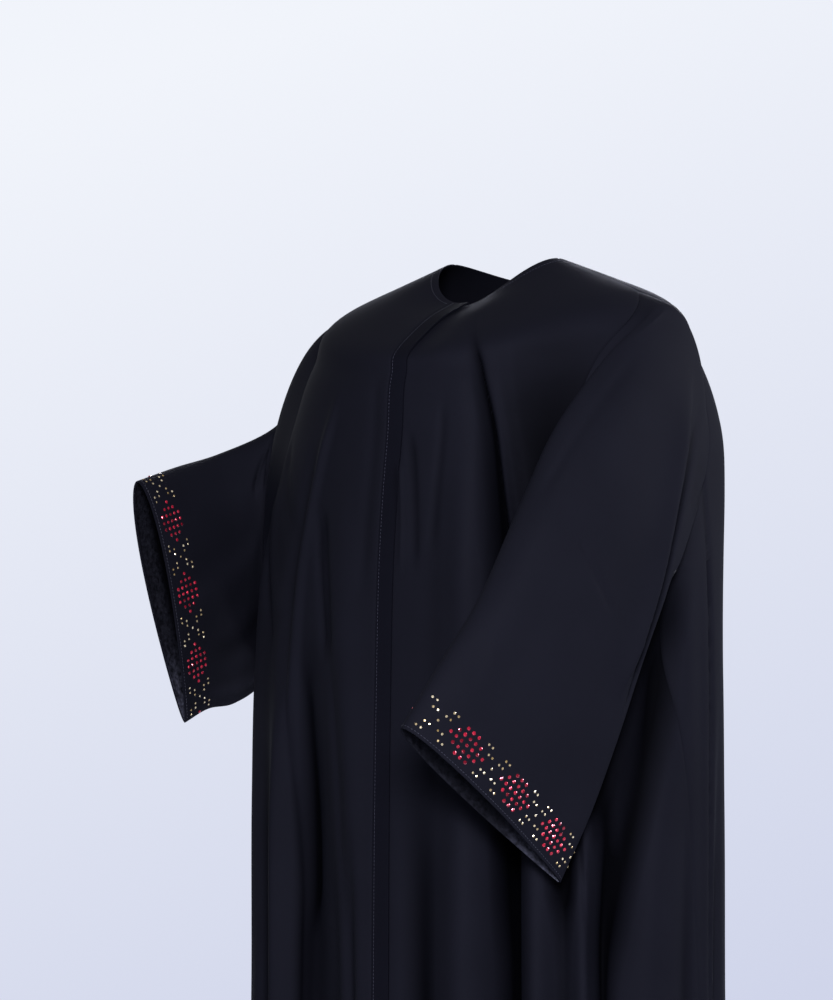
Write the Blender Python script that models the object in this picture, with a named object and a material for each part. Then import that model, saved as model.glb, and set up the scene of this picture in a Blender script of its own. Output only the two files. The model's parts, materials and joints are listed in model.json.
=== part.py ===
"""Abaya: a full-length, open-front over-garment of black crepe, in the form it keeps when worn.

The cloth is a thin wall. The body of the garment is a family of rings round the wearer, one for each
row of SECTIONS, and the fronts, the back and the band are cut from that one surface. Each sleeve is a
tube that starts on the armhole's own points and runs along the arm through its STATIONS.

Frame: metres, +Z up, the front faces -Y, the wearer's left is +X. The origin lies between the two
points where neck and shoulder meet, because the shoulders carry the garment.
"""

import math

import bmesh
import bpy
import numpy as np

# Driving dimensions, in metres.
CLOTH = 0.0014
SEAM_GAP = 0.00035
HEM_HEIGHT = -1.42
UNDERARM_HEIGHT = -0.36
SHOULDER_TIP_HEIGHT = -0.045
NECK_HEIGHT = 0.0

# The placket band, as distances across the centre front.
BAND_SEAM_X = -0.013
BAND_EDGE_X = 0.010
BAND_THICKNESS = 0.0022
UNDERLAP_X = -0.008
UNDERLAP_DROP = 0.0036
UNDERLAP_RISE = 0.050

# How far the armhole reaches round the body from the side seam, in degrees.
ARMHOLE_FRONT_TURN = 29.0
ARMHOLE_BACK_TURN = 24.0
ARMHOLE_ROUNDNESS = 0.75

# Faces across each kind of piece.
ROWS_BELOW_UNDERARM = 11
ROWS_BESIDE_ARMHOLE = 11
ROWS_ON_SHOULDER = 4
FRONT_COLUMNS = 22
BACK_COLUMNS = 42
BAND_COLUMNS = 2
SLEEVE_ROWS = 15

# Steps to either side of a point over which a surface's direction is taken.
NORMAL_TURN = 1.0
NORMAL_STEP = 0.004
SLEEVE_STEP = 0.02

# Points of a tube's two ends closer than this are one point.
WELD_DISTANCE = 1e-6

# Rings of the body, from hem to neck. Heights are at the side seam; a drop lowers the ring in front
# or behind. front_y, back_y and side_y are where the ring crosses the centre planes.
# Columns: height, half_width, front_y, back_y, side_y, front_drop, back_drop.
SECTIONS = (
    (-1.420, 0.332, -0.274, 0.152, -0.062, 0.000, 0.000),
    (-1.150, 0.320, -0.266, 0.142, -0.062, 0.000, 0.000),
    (-0.900, 0.314, -0.262, 0.136, -0.062, 0.000, 0.000),
    (-0.650, 0.314, -0.260, 0.134, -0.062, 0.000, 0.000),
    (-0.500, 0.312, -0.257, 0.133, -0.058, 0.000, 0.000),
    (-0.360, 0.303, -0.252, 0.132, -0.050, 0.000, 0.000),
    (-0.280, 0.291, -0.245, 0.131, -0.043, -0.002, 0.000),
    (-0.200, 0.276, -0.236, 0.129, -0.034, -0.012, -0.002),
    (-0.120, 0.247, -0.229, 0.122, -0.022, -0.026, -0.012),
    (-0.045, 0.198, -0.200, 0.105, -0.010, -0.056, -0.032),
    (-0.022, 0.138, -0.156, 0.083, -0.012, -0.052, -0.031),
    (0.000, 0.078, -0.108, 0.055, -0.018, -0.055, -0.023),
)

# Folds that hang down the body. Angles are degrees round the body from the wearer's left side seam,
# with the centre front at -90 and the centre back at 90. A fold starts at its top, is full one reach
# lower and runs on to the hem.
# Columns: top_angle, hem_angle, half_width, height, top, reach.
FOLDS = (
    (-128.0, -122.0, 6.0, 0.010, -0.30, 0.35),
    (-116.0, -107.0, 7.0, -0.017, -0.34, 0.35),
    (-101.0, -95.0, 4.5, 0.009, -0.30, 0.45),
    (-82.0, -79.0, 4.0, -0.009, -0.45, 0.50),
    (-69.0, -70.0, 5.0, 0.013, -0.14, 0.30),
    (-61.0, -58.0, 3.6, -0.028, -0.14, 0.45),
    (-54.0, -52.0, 3.6, 0.013, -0.30, 0.60),
    (-47.0, -46.0, 3.2, -0.010, -0.50, 0.40),
    (-42.0, -41.5, 2.6, 0.010, -0.52, 0.30),
    (-36.0, -37.0, 3.2, -0.012, -0.55, 0.35),
    (-22.0, -24.0, 7.0, 0.005, -0.50, 0.40),
    (-9.0, -8.5, 4.0, -0.008, -0.50, 0.40),
    (-138.0, -136.0, 4.5, -0.009, -0.45, 0.40),
    (-150.0, -149.0, 6.5, 0.010, -0.16, 0.25),
    (-161.0, -162.0, 4.5, -0.014, -0.45, 0.40),
    (-170.0, -172.0, 4.5, 0.011, -0.45, 0.45),
    (178.0, 178.0, 4.0, -0.009, -0.50, 0.40),
    (170.0, 167.0, 5.0, 0.010, -0.48, 0.40),
    (157.0, 154.0, 4.5, -0.018, -0.30, 0.45),
    (143.0, 141.0, 6.0, 0.012, -0.26, 0.50),
    (131.0, 127.0, 4.0, -0.014, -0.24, 0.55),
    (114.0, 112.0, 6.5, 0.013, -0.20, 0.50),
    (99.0, 96.0, 4.8, -0.021, -0.16, 0.60),
    (83.0, 82.0, 5.5, 0.012, -0.20, 0.50),
    (70.0, 67.0, 4.0, -0.016, -0.22, 0.50),
    (54.0, 52.0, 6.0, 0.011, -0.24, 0.50),
    (42.0, 38.0, 4.4, -0.015, -0.28, 0.50),
    (27.0, 25.0, 5.5, 0.003, -0.34, 0.45),
    (12.0, 10.0, 3.8, -0.010, -0.45, 0.45),
)

# Broad, local forms: the left front gives way where the sleeve lies against it, and the back stands
# out behind each arm, where its fullness hangs from the shoulder blades.
# Columns: angle, height, half_width, half_length, size.
LOCAL_FORMS = (
    (-40.0, -0.34, 20.0, 0.22, -0.036),
    (28.0, -0.21, 16.0, 0.14, 0.020),
    (152.0, -0.21, 16.0, 0.14, 0.012),
)

# The left side seam, with the middle of the armhole and the shoulder seam above it. The raised arm
# draws it forwards. The right one hangs straight at the side.
# Columns: height, angle.
LEFT_SEAM = (
    (-1.420, -1.0),
    (-0.960, -1.0),
    (-0.660, -7.0),
    (-0.360, -18.0),
    (-0.200, -12.0),
    (-0.045, -4.0),
    (0.000, 0.0),
)

# Sleeve stations from the upper arm to the cuff. top is the line over the arm, low the edge that
# hangs, swell the distance from the middle to either layer at the arm and at the hanging edge.
# facing is the way the layers part, in degrees from straight sideways towards the back.
# Columns: top_x, top_y, top_z, low_x, low_y, low_z, swell_top, swell_low, facing.
SLEEVE_LEFT_STATIONS = (
    (0.240, -0.034, -0.066, 0.305, -0.118, -0.368, 0.074, 0.036, 76.0),
    (0.242, -0.114, -0.112, 0.301, -0.131, -0.387, 0.062, 0.032, 52.0),
    (0.227, -0.205, -0.196, 0.298, -0.141, -0.417, 0.054, 0.030, 16.0),
    (0.214, -0.266, -0.283, 0.292, -0.163, -0.473, 0.050, 0.028, -8.0),
    (0.198, -0.336, -0.400, 0.274, -0.192, -0.570, 0.046, 0.024, -16.0),
    (0.180, -0.386, -0.470, 0.255, -0.210, -0.642, 0.042, 0.020, -20.0),
    (0.164, -0.430, -0.534, 0.234, -0.236, -0.714, 0.036, 0.016, -20.0),
)
SLEEVE_RIGHT_STATIONS = (
    (-0.252, -0.014, -0.064, -0.340, -0.036, -0.372, 0.086, 0.052, 96.0),
    (-0.338, 0.018, -0.134, -0.374, -0.018, -0.452, 0.070, 0.040, 88.0),
    (-0.408, 0.018, -0.198, -0.410, 0.000, -0.530, 0.058, 0.030, 56.0),
    (-0.436, -0.052, -0.230, -0.422, -0.040, -0.554, 0.050, 0.026, 24.0),
    (-0.440, -0.130, -0.248, -0.420, -0.092, -0.558, 0.044, 0.022, 14.0),
    (-0.432, -0.210, -0.266, -0.418, -0.138, -0.573, 0.036, 0.016, 12.0),
)

CREPE_COLOUR = (0.012, 0.012, 0.018, 1.0)
BAND_COLOUR = (0.014, 0.014, 0.020, 1.0)
CREPE_ROUGHNESS = 0.62


def smooth_curve(keys, values, at):
    """A smooth curve through rows of values, with slopes taken from the neighbouring rows."""
    keys = np.asarray(keys, dtype=float)
    values = np.asarray(values, dtype=float)
    steps = np.diff(keys)
    slopes = np.diff(values, axis=0) / steps[:, None]
    tangents = np.empty_like(values)
    tangents[0] = slopes[0]
    tangents[-1] = slopes[-1]
    before = steps[:-1, None]
    after = steps[1:, None]
    tangents[1:-1] = (slopes[:-1] * after + slopes[1:] * before) / (before + after)
    row = int(np.clip(np.searchsorted(keys, at) - 1, 0, len(steps) - 1))
    step = steps[row]
    t = min(max((at - keys[row]) / step, 0.0), 1.0)
    start_weight = (1.0 + 2.0 * t) * (1.0 - t) ** 2
    end_weight = t * t * (3.0 - 2.0 * t)
    start_slope = t * (1.0 - t) ** 2 * step
    end_slope = t * t * (t - 1.0) * step
    return (start_weight * values[row] + end_weight * values[row + 1]
            + start_slope * tangents[row] + end_slope * tangents[row + 1])


def ease(t):
    """Zero below 0, one above 1, and a soft rise between."""
    t = min(max(t, 0.0), 1.0)
    return t * t * (3.0 - 2.0 * t)


def bump(distance, half_width):
    """A soft hump of height one, a half width to each side."""
    return math.exp(-(distance / half_width) ** 2)


def ring_at(height):
    """The sizes of the body's ring whose side seam is at this height."""
    table = np.array(SECTIONS)
    return smooth_curve(table[:, 0], table[:, 1:], height)


def fold_height(angle, height):
    """How far the cloth stands out of its plain ring, from the folds and the local forms."""
    total = 0.0
    for top_angle, hem_angle, half_width, fold_size, top, reach in FOLDS:
        strength = ease((top - height) / reach)
        along = min(max((top - height) / (top - HEM_HEIGHT), 0.0), 1.0)
        middle = top_angle + (hem_angle - top_angle) * along
        distance = (angle - middle + 180.0) % 360.0 - 180.0
        total += fold_size * strength * bump(distance, half_width)
    for middle, middle_height, half_width, half_length, size in LOCAL_FORMS:
        total += size * bump(angle - middle, half_width) * bump(height - middle_height, half_length)
    return total


def body_normal(angle, height):
    """The direction straight out of the garment's outer surface."""
    above = min(height + NORMAL_STEP, NECK_HEIGHT)
    below = max(height - NORMAL_STEP, HEM_HEIGHT)
    turn = body_point(angle + NORMAL_TURN, height) - body_point(angle - NORMAL_TURN, height)
    rise = body_point(angle, above) - body_point(angle, below)
    normal = np.cross(turn, rise)
    return normal / np.linalg.norm(normal)


def body_point(angle, height):
    """A point of the garment's outer surface, at an angle round the ring of a side-seam height."""
    half_width, front_y, back_y, side_y, front_drop, back_drop = ring_at(height)
    turn = math.radians(angle)
    across = math.cos(turn)
    along = math.sin(turn)
    depth = side_y - front_y if along < 0.0 else back_y - side_y
    drop = front_drop if along < 0.0 else back_drop
    point = np.array((half_width * across, side_y + depth * along, height + drop * along * along))
    outward = np.array((across / half_width, along / depth, 0.0))
    outward /= np.linalg.norm(outward)
    return point + outward * fold_height(angle, height)


def angle_at_x(x, height):
    """The angle at which a ring's front crosses a distance from the centre plane."""
    half_width = ring_at(height)[0]
    return -math.degrees(math.acos(x / half_width))


def seam_angle(height, side):
    """The angle of a side seam, and above it of the armhole's middle and the shoulder seam."""
    if side < 0:
        return 180.0
    table = np.array(LEFT_SEAM)
    return float(smooth_curve(table[:, 0], table[:, 1:], height)[0])


def armhole_turn(height, reach):
    """How far the armhole edge lies from its middle at a height, in degrees."""
    along = (height - UNDERARM_HEIGHT) / (SHOULDER_TIP_HEIGHT - UNDERARM_HEIGHT)
    if along <= 0.0 or along >= 1.0:
        return 0.0
    return reach * math.sin(math.pi * along) ** ARMHOLE_ROUNDNESS


def seam_turn(height):
    """Half of the gap at a side or shoulder seam, as an angle."""
    half_width, front_y, _, side_y, _, _ = ring_at(height)
    return math.degrees(0.5 * SEAM_GAP / (side_y - front_y))


def row_heights():
    """Side-seam heights of the rows of faces, from hem to neck."""
    lower = np.linspace(HEM_HEIGHT, UNDERARM_HEIGHT, ROWS_BELOW_UNDERARM + 1)
    armhole = np.linspace(UNDERARM_HEIGHT, SHOULDER_TIP_HEIGHT, ROWS_BESIDE_ARMHOLE + 1)
    shoulder = np.linspace(SHOULDER_TIP_HEIGHT, NECK_HEIGHT, ROWS_ON_SHOULDER + 1)
    return np.concatenate((lower, armhole[1:], shoulder[1:]))


def underlap_lift(x):
    """How deep the left front lies below the band, easing back to the surface beside it."""
    return -UNDERLAP_DROP * (1.0 - ease((x - BAND_EDGE_X) / UNDERLAP_RISE))


def crepe(name, colour):
    """The cloth's plain material."""
    material = bpy.data.materials.new(name)
    material.use_nodes = True
    shader = material.node_tree.nodes["Principled BSDF"]
    shader.inputs["Base Color"].default_value = colour
    shader.inputs["Roughness"].default_value = CREPE_ROUGHNESS
    shader.inputs["Metallic"].default_value = 0.0
    return material


def cloth_object(name, columns, rows, surface_at, thickness, colour, closed=False):
    """A cloth wall. A grid is laid on the wall's inner side, joined at its ends if closed, and
    extruded straight out to the outer side, which surface_at(u, v) gives with its normal."""
    mesh = bmesh.new()
    bmesh.ops.create_grid(mesh, x_segments=columns, y_segments=rows, size=0.5)
    outward = mesh.verts.layers.float_vector.new("outward")
    for vertex in mesh.verts:
        point, normal = surface_at(vertex.co.x + 0.5, vertex.co.y + 0.5)
        vertex.co = point - normal * thickness
        vertex[outward] = normal * thickness
    if closed:
        bmesh.ops.remove_doubles(mesh, verts=mesh.verts, dist=WELD_DISTANCE)
    wall = bmesh.ops.extrude_face_region(mesh, geom=mesh.faces[:])
    for element in wall["geom"]:
        if isinstance(element, bmesh.types.BMVert):
            element.co += element[outward]
    bmesh.ops.recalc_face_normals(mesh, faces=mesh.faces)
    data = bpy.data.meshes.new(name)
    mesh.to_mesh(data)
    mesh.free()
    data.shade_smooth()
    piece = bpy.data.objects.new(name, data)
    bpy.context.collection.objects.link(piece)
    data.materials.append(crepe(name + "_crepe", colour))
    return piece


def row_of(v, heights):
    """The side-seam height of the row at v."""
    return heights[round(v * (len(heights) - 1))]


def make_front_right(heights):
    """The wearer's right front, from the side seam to the seam of the band."""
    def surface_at(u, v):
        height = row_of(v, heights)
        side = -180.0 + armhole_turn(height, ARMHOLE_FRONT_TURN) + seam_turn(height)
        seam = angle_at_x(BAND_SEAM_X - 0.5 * SEAM_GAP, height)
        angle = side + (seam - side) * u
        return body_point(angle, height), body_normal(angle, height)
    rows = len(heights) - 1
    return cloth_object("front_right", FRONT_COLUMNS, rows, surface_at, CLOTH, CREPE_COLOUR)


def make_front_left(heights):
    """The wearer's left front, whose edge runs on under the band."""
    def surface_at(u, v):
        height = row_of(v, heights)
        edge = angle_at_x(UNDERLAP_X, height)
        side = seam_angle(height, 1) - armhole_turn(height, ARMHOLE_FRONT_TURN) - seam_turn(height)
        angle = edge + (side - edge) * u
        point = body_point(angle, height)
        normal = body_normal(angle, height)
        return point + normal * underlap_lift(point[0]), normal
    rows = len(heights) - 1
    return cloth_object("front_left", FRONT_COLUMNS, rows, surface_at, CLOTH, CREPE_COLOUR)


def make_front_band(heights):
    """The placket band: it carries on the right front's surface and covers the left front's edge."""
    def surface_at(u, v):
        height = row_of(v, heights)
        seam = angle_at_x(BAND_SEAM_X + 0.5 * SEAM_GAP, height)
        edge = angle_at_x(BAND_EDGE_X, height)
        angle = seam + (edge - seam) * u
        return body_point(angle, height), body_normal(angle, height)
    rows = len(heights) - 1
    return cloth_object("front_band", BAND_COLUMNS, rows, surface_at, BAND_THICKNESS, BAND_COLOUR)


def make_back(heights):
    """The back, in one piece from side seam to side seam."""
    def surface_at(u, v):
        height = row_of(v, heights)
        edge = armhole_turn(height, ARMHOLE_BACK_TURN) + seam_turn(height)
        left = seam_angle(height, 1) + edge
        right = seam_angle(height, -1) - edge
        angle = left + (right - left) * u
        return body_point(angle, height), body_normal(angle, height)
    return cloth_object("back", BACK_COLUMNS, len(heights) - 1, surface_at, CLOTH, CREPE_COLOUR)


def armhole_loop(side):
    """The armhole's points, from the underarm up the front edge and down the back edge, each with
    the garment's normal there."""
    heights = np.linspace(UNDERARM_HEIGHT, SHOULDER_TIP_HEIGHT, ROWS_BESIDE_ARMHOLE + 1)
    edges = [(-armhole_turn(height, ARMHOLE_FRONT_TURN), height) for height in heights]
    edges += [(armhole_turn(height, ARMHOLE_BACK_TURN), height) for height in heights[-2:0:-1]]
    places = [(seam_angle(height, side) + side * turn, height) for turn, height in edges]
    points = np.array([body_point(angle, height) for angle, height in places])
    normals = np.array([body_normal(angle, height) for angle, height in places])
    return points, normals


def station_loop(station, side):
    """A sleeve ring: an upright lens that is full round the arm and thin at the hanging edge."""
    top = np.array(station[0:3])
    low = np.array(station[3:6])
    swell_top, swell_low, facing = station[6:9]
    outward = np.array((side * math.cos(math.radians(facing)), math.sin(math.radians(facing)), 0.0))
    points = []
    count = 2 * ROWS_BESIDE_ARMHOLE
    for index in range(count):
        turn = 2.0 * math.pi * index / count
        rise = 0.5 - 0.5 * math.cos(turn)
        swell = swell_low + (swell_top - swell_low) * rise
        points.append(low + (top - low) * rise - outward * swell * math.sin(turn))
    return np.array(points)


def sleeve_rings(stations, side):
    """The armhole's loop and every station's loop, in order along the arm."""
    first, _ = armhole_loop(side)
    return np.array([first] + [station_loop(station, side) for station in stations])


def unit(vectors):
    """Each row at length one."""
    return vectors / np.linalg.norm(vectors, axis=-1, keepdims=True)


def ring_normals(ring, along, side):
    """Normals of a tube's ring, from its own points and the direction in which the tube runs."""
    round_arm = np.roll(ring, -1, axis=0) - np.roll(ring, 1, axis=0)
    return unit(np.cross(along, round_arm) * side)


def armhole_rim(ring, normals, away, side):
    """Normals for the sleeve's first ring, turned where its rim would lean over the body's rim."""
    _, body_normals = armhole_loop(side)
    round_arm = np.roll(ring, -1, axis=0) - np.roll(ring, 1, axis=0)
    across = unit(np.cross(round_arm, body_normals))
    inwards = ring.mean(axis=0) - ring
    across *= np.sign(np.sum(across * inwards, axis=1, keepdims=True))
    lean = np.maximum(np.sum(normals * across, axis=1, keepdims=True), 0.0)
    return unit(normals - lean * across), unit(away)


def make_sleeve(name, stations, side):
    """A sleeve: a smooth tube through its rings, a seam gap away from the armhole."""
    rings = sleeve_rings(stations, side)
    spacing = np.linalg.norm(np.diff(rings, axis=0), axis=2).mean(axis=1)
    places = np.concatenate(([0.0], np.cumsum(spacing)))
    places /= places[-1]
    count = rings.shape[1]
    flat = rings.reshape(len(rings), -1)
    points = []
    normals = []
    for row in range(SLEEVE_ROWS + 1):
        along = row / SLEEVE_ROWS
        before = smooth_curve(places, flat, max(along - SLEEVE_STEP, 0.0)).reshape(count, 3)
        after = smooth_curve(places, flat, min(along + SLEEVE_STEP, 1.0)).reshape(count, 3)
        ring = smooth_curve(places, flat, along).reshape(count, 3)
        facing = ring_normals(ring, after - before, side)
        if row == 0:
            facing, away = armhole_rim(ring, facing, after - before, side)
            ring = ring + away * SEAM_GAP
        points.append(ring)
        normals.append(facing)

    def surface_at(u, v):
        along, round_arm = (u, v) if side > 0 else (v, u)
        row = round(along * SLEEVE_ROWS)
        index = round(round_arm * count) % count
        return points[row][index], normals[row][index]
    columns, rows = (SLEEVE_ROWS, count) if side > 0 else (count, SLEEVE_ROWS)
    return cloth_object(name, columns, rows, surface_at, CLOTH, CREPE_COLOUR, closed=True)


def main():
    """Clears the scene and makes every piece."""
    for leftover in list(bpy.data.objects):
        bpy.data.objects.remove(leftover)
    heights = row_heights()
    make_front_right(heights)
    make_front_left(heights)
    make_front_band(heights)
    make_back(heights)
    make_sleeve("sleeve_left", SLEEVE_LEFT_STATIONS, 1)
    make_sleeve("sleeve_right", SLEEVE_RIGHT_STATIONS, -1)


main()
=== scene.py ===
# %% [markdown]
# # A black crepe abaya with stones at the cuffs
# An abaya is a long, loose over-garment. This one is sewn from six pieces of black crepe: two fronts,
# a placket band down the middle, one wide back and two wide sleeves. Faceted stones are pressed on
# round each cuff. The imported solids already have the garment's form at full size. This script lays
# thin, finely creased cloth on that form, gives it seams, hems and stitches, sets the stones, and
# lights it as in a studio. First it loads the solids.

# %% Load the frame
import json
import math

import bmesh
import bpy
import numpy as np
from mathutils import Matrix, Vector
from mathutils.kdtree import KDTree

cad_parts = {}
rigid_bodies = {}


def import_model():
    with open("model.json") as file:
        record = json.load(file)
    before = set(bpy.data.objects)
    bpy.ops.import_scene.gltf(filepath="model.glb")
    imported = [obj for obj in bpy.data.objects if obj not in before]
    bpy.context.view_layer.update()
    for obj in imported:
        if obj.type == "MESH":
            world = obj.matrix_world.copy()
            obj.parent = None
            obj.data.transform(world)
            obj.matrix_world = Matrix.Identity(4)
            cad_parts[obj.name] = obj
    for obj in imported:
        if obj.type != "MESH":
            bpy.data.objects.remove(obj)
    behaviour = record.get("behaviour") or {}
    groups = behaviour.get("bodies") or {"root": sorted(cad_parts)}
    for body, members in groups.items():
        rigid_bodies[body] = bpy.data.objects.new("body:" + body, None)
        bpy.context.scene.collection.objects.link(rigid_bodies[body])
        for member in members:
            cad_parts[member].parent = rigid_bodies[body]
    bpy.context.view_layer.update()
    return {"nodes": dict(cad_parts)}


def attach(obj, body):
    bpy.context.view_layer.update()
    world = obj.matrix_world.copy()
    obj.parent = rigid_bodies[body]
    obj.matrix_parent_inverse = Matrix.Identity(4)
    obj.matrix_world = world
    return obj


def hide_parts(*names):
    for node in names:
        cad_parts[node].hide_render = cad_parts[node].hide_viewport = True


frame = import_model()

print("solids:", sorted(frame["nodes"]))

# %% [markdown]
# ## Colours and nodes
# Colours are picked as sRGB hex values, but shaders count in linear light, so one function
# turns them. A second small function adds any shader node with its settings and links, which keeps
# each material readable as a list of what feeds what.

# %% Helpers for materials
def linear(hex_code):
    """An sRGB hex colour as the linear RGBA that a shader reads."""
    channels = [int(hex_code[i:i + 2], 16) / 255.0 for i in (1, 3, 5)]
    return tuple(c / 12.92 if c <= 0.04045 else ((c + 0.055) / 1.055) ** 2.4 for c in channels) + (1.0,)


def add_node(material, kind, inputs=None, **settings):
    """Adds a shader node. inputs maps a socket to a plain value or to another node's output."""
    tree = material.node_tree
    node = tree.nodes.new(kind)
    for name, value in settings.items():
        setattr(node, name, value)
    for socket, value in (inputs or {}).items():
        if isinstance(value, bpy.types.NodeSocket):
            tree.links.new(value, node.inputs[socket])
        else:
            node.inputs[socket].default_value = value
    return node


def new_material(name):
    """An empty node material and its Principled shader, already linked to the output."""
    material = bpy.data.materials.new(name)
    material.use_nodes = True
    return material, material.node_tree.nodes["Principled BSDF"]


def feed(material, value, socket):
    """Links a node's output to a shader's socket."""
    material.node_tree.links.new(value, socket)

# %% [markdown]
# ## Black polyester crepe
# Crepe is woven from hard-twisted yarn, which crinkles as it relaxes. The surface is a fine, even
# pebble with no direction, so light spreads over it: black crepe looks matt from all sides, slightly
# blue where a lamp meets it, and falls to plain black in its folds. Wave textures could draw every yarn,
# but from a few steps away nobody sees one. A base near black, almost no gloss and a small bump are
# enough. Real grain is about 0.4 mm across, too fine for this picture, so it is drawn at 1.1 mm. A slow
# change of tone over some 12 cm stands for the way dye and handling vary across a bolt. In a fold the
# cloth faces only more black cloth, and painted shade adds to that: the attribute fold_depth, worked out
# from the form further down, is 0 on flat cloth and 1 at the bottom of a deep fold, and the base colour
# is mixed that far towards black, nearly all the way at 1.

# %% Crepe materials
CREPE_GRAIN = 0.0011
CREPE_BUMP = 0.00022
TONE_SIZE = 0.12
# Painted shade in folds: the near black that the base colour is mixed towards, and the largest share of
# it.
PAINTED_SHADE_BLACK = "#000001"
PAINTED_SHADE_DARKNESS = 0.95


def crepe(name, deep, worn, roughness, gloss):
    """Matt black crepe between two tones. A gloss of 0.5 would be that of plain glass."""
    material, shader = new_material(name)
    place = add_node(material, "ShaderNodeTexCoord").outputs["Object"]
    tone = add_node(material, "ShaderNodeTexNoise",
                    {"Vector": place, "Scale": 1.0 / TONE_SIZE, "Detail": 3.0, "Roughness": 0.55})
    mix = add_node(material, "ShaderNodeMix", {"Factor": tone.outputs["Fac"], "A": linear(deep),
                                               "B": linear(worn)}, data_type="RGBA")
    # Painted shade: where fold_depth is high, the base colour is mixed towards near black.
    folded = add_node(material, "ShaderNodeAttribute", attribute_name="fold_depth").outputs["Fac"]
    painted_shade = add_node(material, "ShaderNodeMapRange", {"Value": folded, "To Max": PAINTED_SHADE_DARKNESS})
    shaded = add_node(material, "ShaderNodeMix", {"Factor": painted_shade.outputs["Result"],
                                                  "A": mix.outputs["Result"], "B": linear(PAINTED_SHADE_BLACK)},
                      data_type="RGBA")
    feed(material, shaded.outputs["Result"], shader.inputs["Base Color"])
    pebble = add_node(material, "ShaderNodeTexNoise",
                      {"Vector": place, "Scale": 1.0 / CREPE_GRAIN, "Detail": 2.0, "Roughness": 0.6})
    relief = add_node(material, "ShaderNodeBump",
                      {"Height": pebble.outputs["Fac"], "Strength": 0.5, "Distance": CREPE_BUMP})
    feed(material, relief.outputs["Normal"], shader.inputs["Normal"])
    shader.inputs["Roughness"].default_value = roughness
    shader.inputs["Specular IOR Level"].default_value = gloss
    shader.inputs["Sheen Weight"].default_value = 0.003
    shader.inputs["Sheen Roughness"].default_value = 0.4
    shader.inputs["Sheen Tint"].default_value = linear("#aab4dc")
    return material


CREPE_FACE = crepe("black_polyester_crepe", "#121217", "#16161c", 0.72, 0.02)
# The band is the same crepe as the fronts. Its darker tones are painted shade, so that it reads darker
# than the cloth beside it.
CREPE_BAND_PAINTED_SHADE = crepe("black_crepe_band_painted_shade", "#0c0c11", "#101016", 0.72, 0.02)
CREPE_BACK = crepe("black_crepe_wrong_side", "#0b0b10", "#101016", 0.8, 0.05)
print("crepe grain drawn at", CREPE_GRAIN * 1000, "mm")

# %% [markdown]
# ## The inside of the cuffs
# The stones are pressed on from outside with a hot iron. On the wrong side, heat and glue leave the
# crepe smoother and slightly crinkled in a strip as wide as the band. Its grey is partly painted sheen,
# the light that the smoother strip catches, and it is painted lighter still towards the hanging edge, as
# a painted highlight where the cuff hangs lowest, the only bright part of the near cuff's inside. It
# could be painted on by hand. Two attributes follow the sleeve's edges more exactly: top_edge, the
# distance from the cuff's edge, and side_edge, the distance from the hanging edge. Patches some 6 mm
# wide break the strip up.

# %% Pressed crepe
PRESSED_WIDTH = 0.046
# How far round from the hanging edge the painted highlight fades to a small share.
PAINTED_SHEEN_REACH = 0.10
PRESSED_PATCH = 0.006
PRESSED_BUMP = 0.0008


def pressed_crepe_with_sheen(name, plain, pressed_sheen):
    """The wrong side of a sleeve: plain crepe that turns greyer and glossier near the cuff's edge. The
    grey is partly painted sheen, lightest towards the hanging edge.
    """
    material, shader = new_material(name)
    place = add_node(material, "ShaderNodeTexCoord").outputs["Object"]
    edge = add_node(material, "ShaderNodeAttribute", attribute_name="top_edge").outputs["Fac"]
    strip = add_node(material, "ShaderNodeMapRange", {"Value": edge, "From Min": PRESSED_WIDTH,
                                                      "From Max": PRESSED_WIDTH * 0.7})
    patches = add_node(material, "ShaderNodeTexNoise",
                       {"Vector": place, "Scale": 1.0 / PRESSED_PATCH, "Detail": 4.0, "Roughness": 0.7})
    broken = add_node(material, "ShaderNodeMapRange", {"Value": patches.outputs["Fac"], "From Min": 0.35,
                                                       "From Max": 0.75})
    # Painted highlight: the strip is full at the hanging edge and drops to a small share further round.
    side = add_node(material, "ShaderNodeAttribute", attribute_name="side_edge").outputs["Fac"]
    low = add_node(material, "ShaderNodeMapRange", {"Value": side, "From Min": PAINTED_SHEEN_REACH,
                                                    "From Max": 0.0, "To Min": 0.15})
    share = strip.outputs["Result"]
    for limit in (broken, low):
        share = add_node(material, "ShaderNodeMath", {0: share, 1: limit.outputs["Result"]},
                         operation="MULTIPLY").outputs["Value"]
    mix = add_node(material, "ShaderNodeMix", {"Factor": share, "A": linear(plain), "B": linear(pressed_sheen)},
                   data_type="RGBA")
    feed(material, mix.outputs["Result"], shader.inputs["Base Color"])
    relief = add_node(material, "ShaderNodeBump",
                      {"Height": patches.outputs["Fac"], "Strength": 0.4, "Distance": PRESSED_BUMP})
    feed(material, relief.outputs["Normal"], shader.inputs["Normal"])
    shader.inputs["Roughness"].default_value = 0.5
    shader.inputs["Specular IOR Level"].default_value = 0.12
    return material


# The grey of the pressed strip is partly painted sheen.
CUFF_BACK = pressed_crepe_with_sheen("black_crepe_pressed_wrong_side_painted_sheen", "#08080c", "#5c5c68")
print("pressed strip inside the cuffs:", PRESSED_WIDTH * 1000, "mm wide")

# %% [markdown]
# ## The form of the worn cloth
# The solids were built from rings round the wearer, one for each height in a short table, with long
# folds added to the rings. The same tables are repeated here, because the cloth has to lie on that
# form. Subdividing the solids would be another way, but their faces are several centimetres long.
# Working the tables out again with many more points than the solids have gives smooth cloth.

# %% Tables of the body
# Sizes are metres and angles are degrees in all tables of this script.
HEM_HEIGHT = -1.42
UNDERARM_HEIGHT = -0.36
SHOULDER_TIP_HEIGHT = -0.045
NECK_HEIGHT = 0.0

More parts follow.
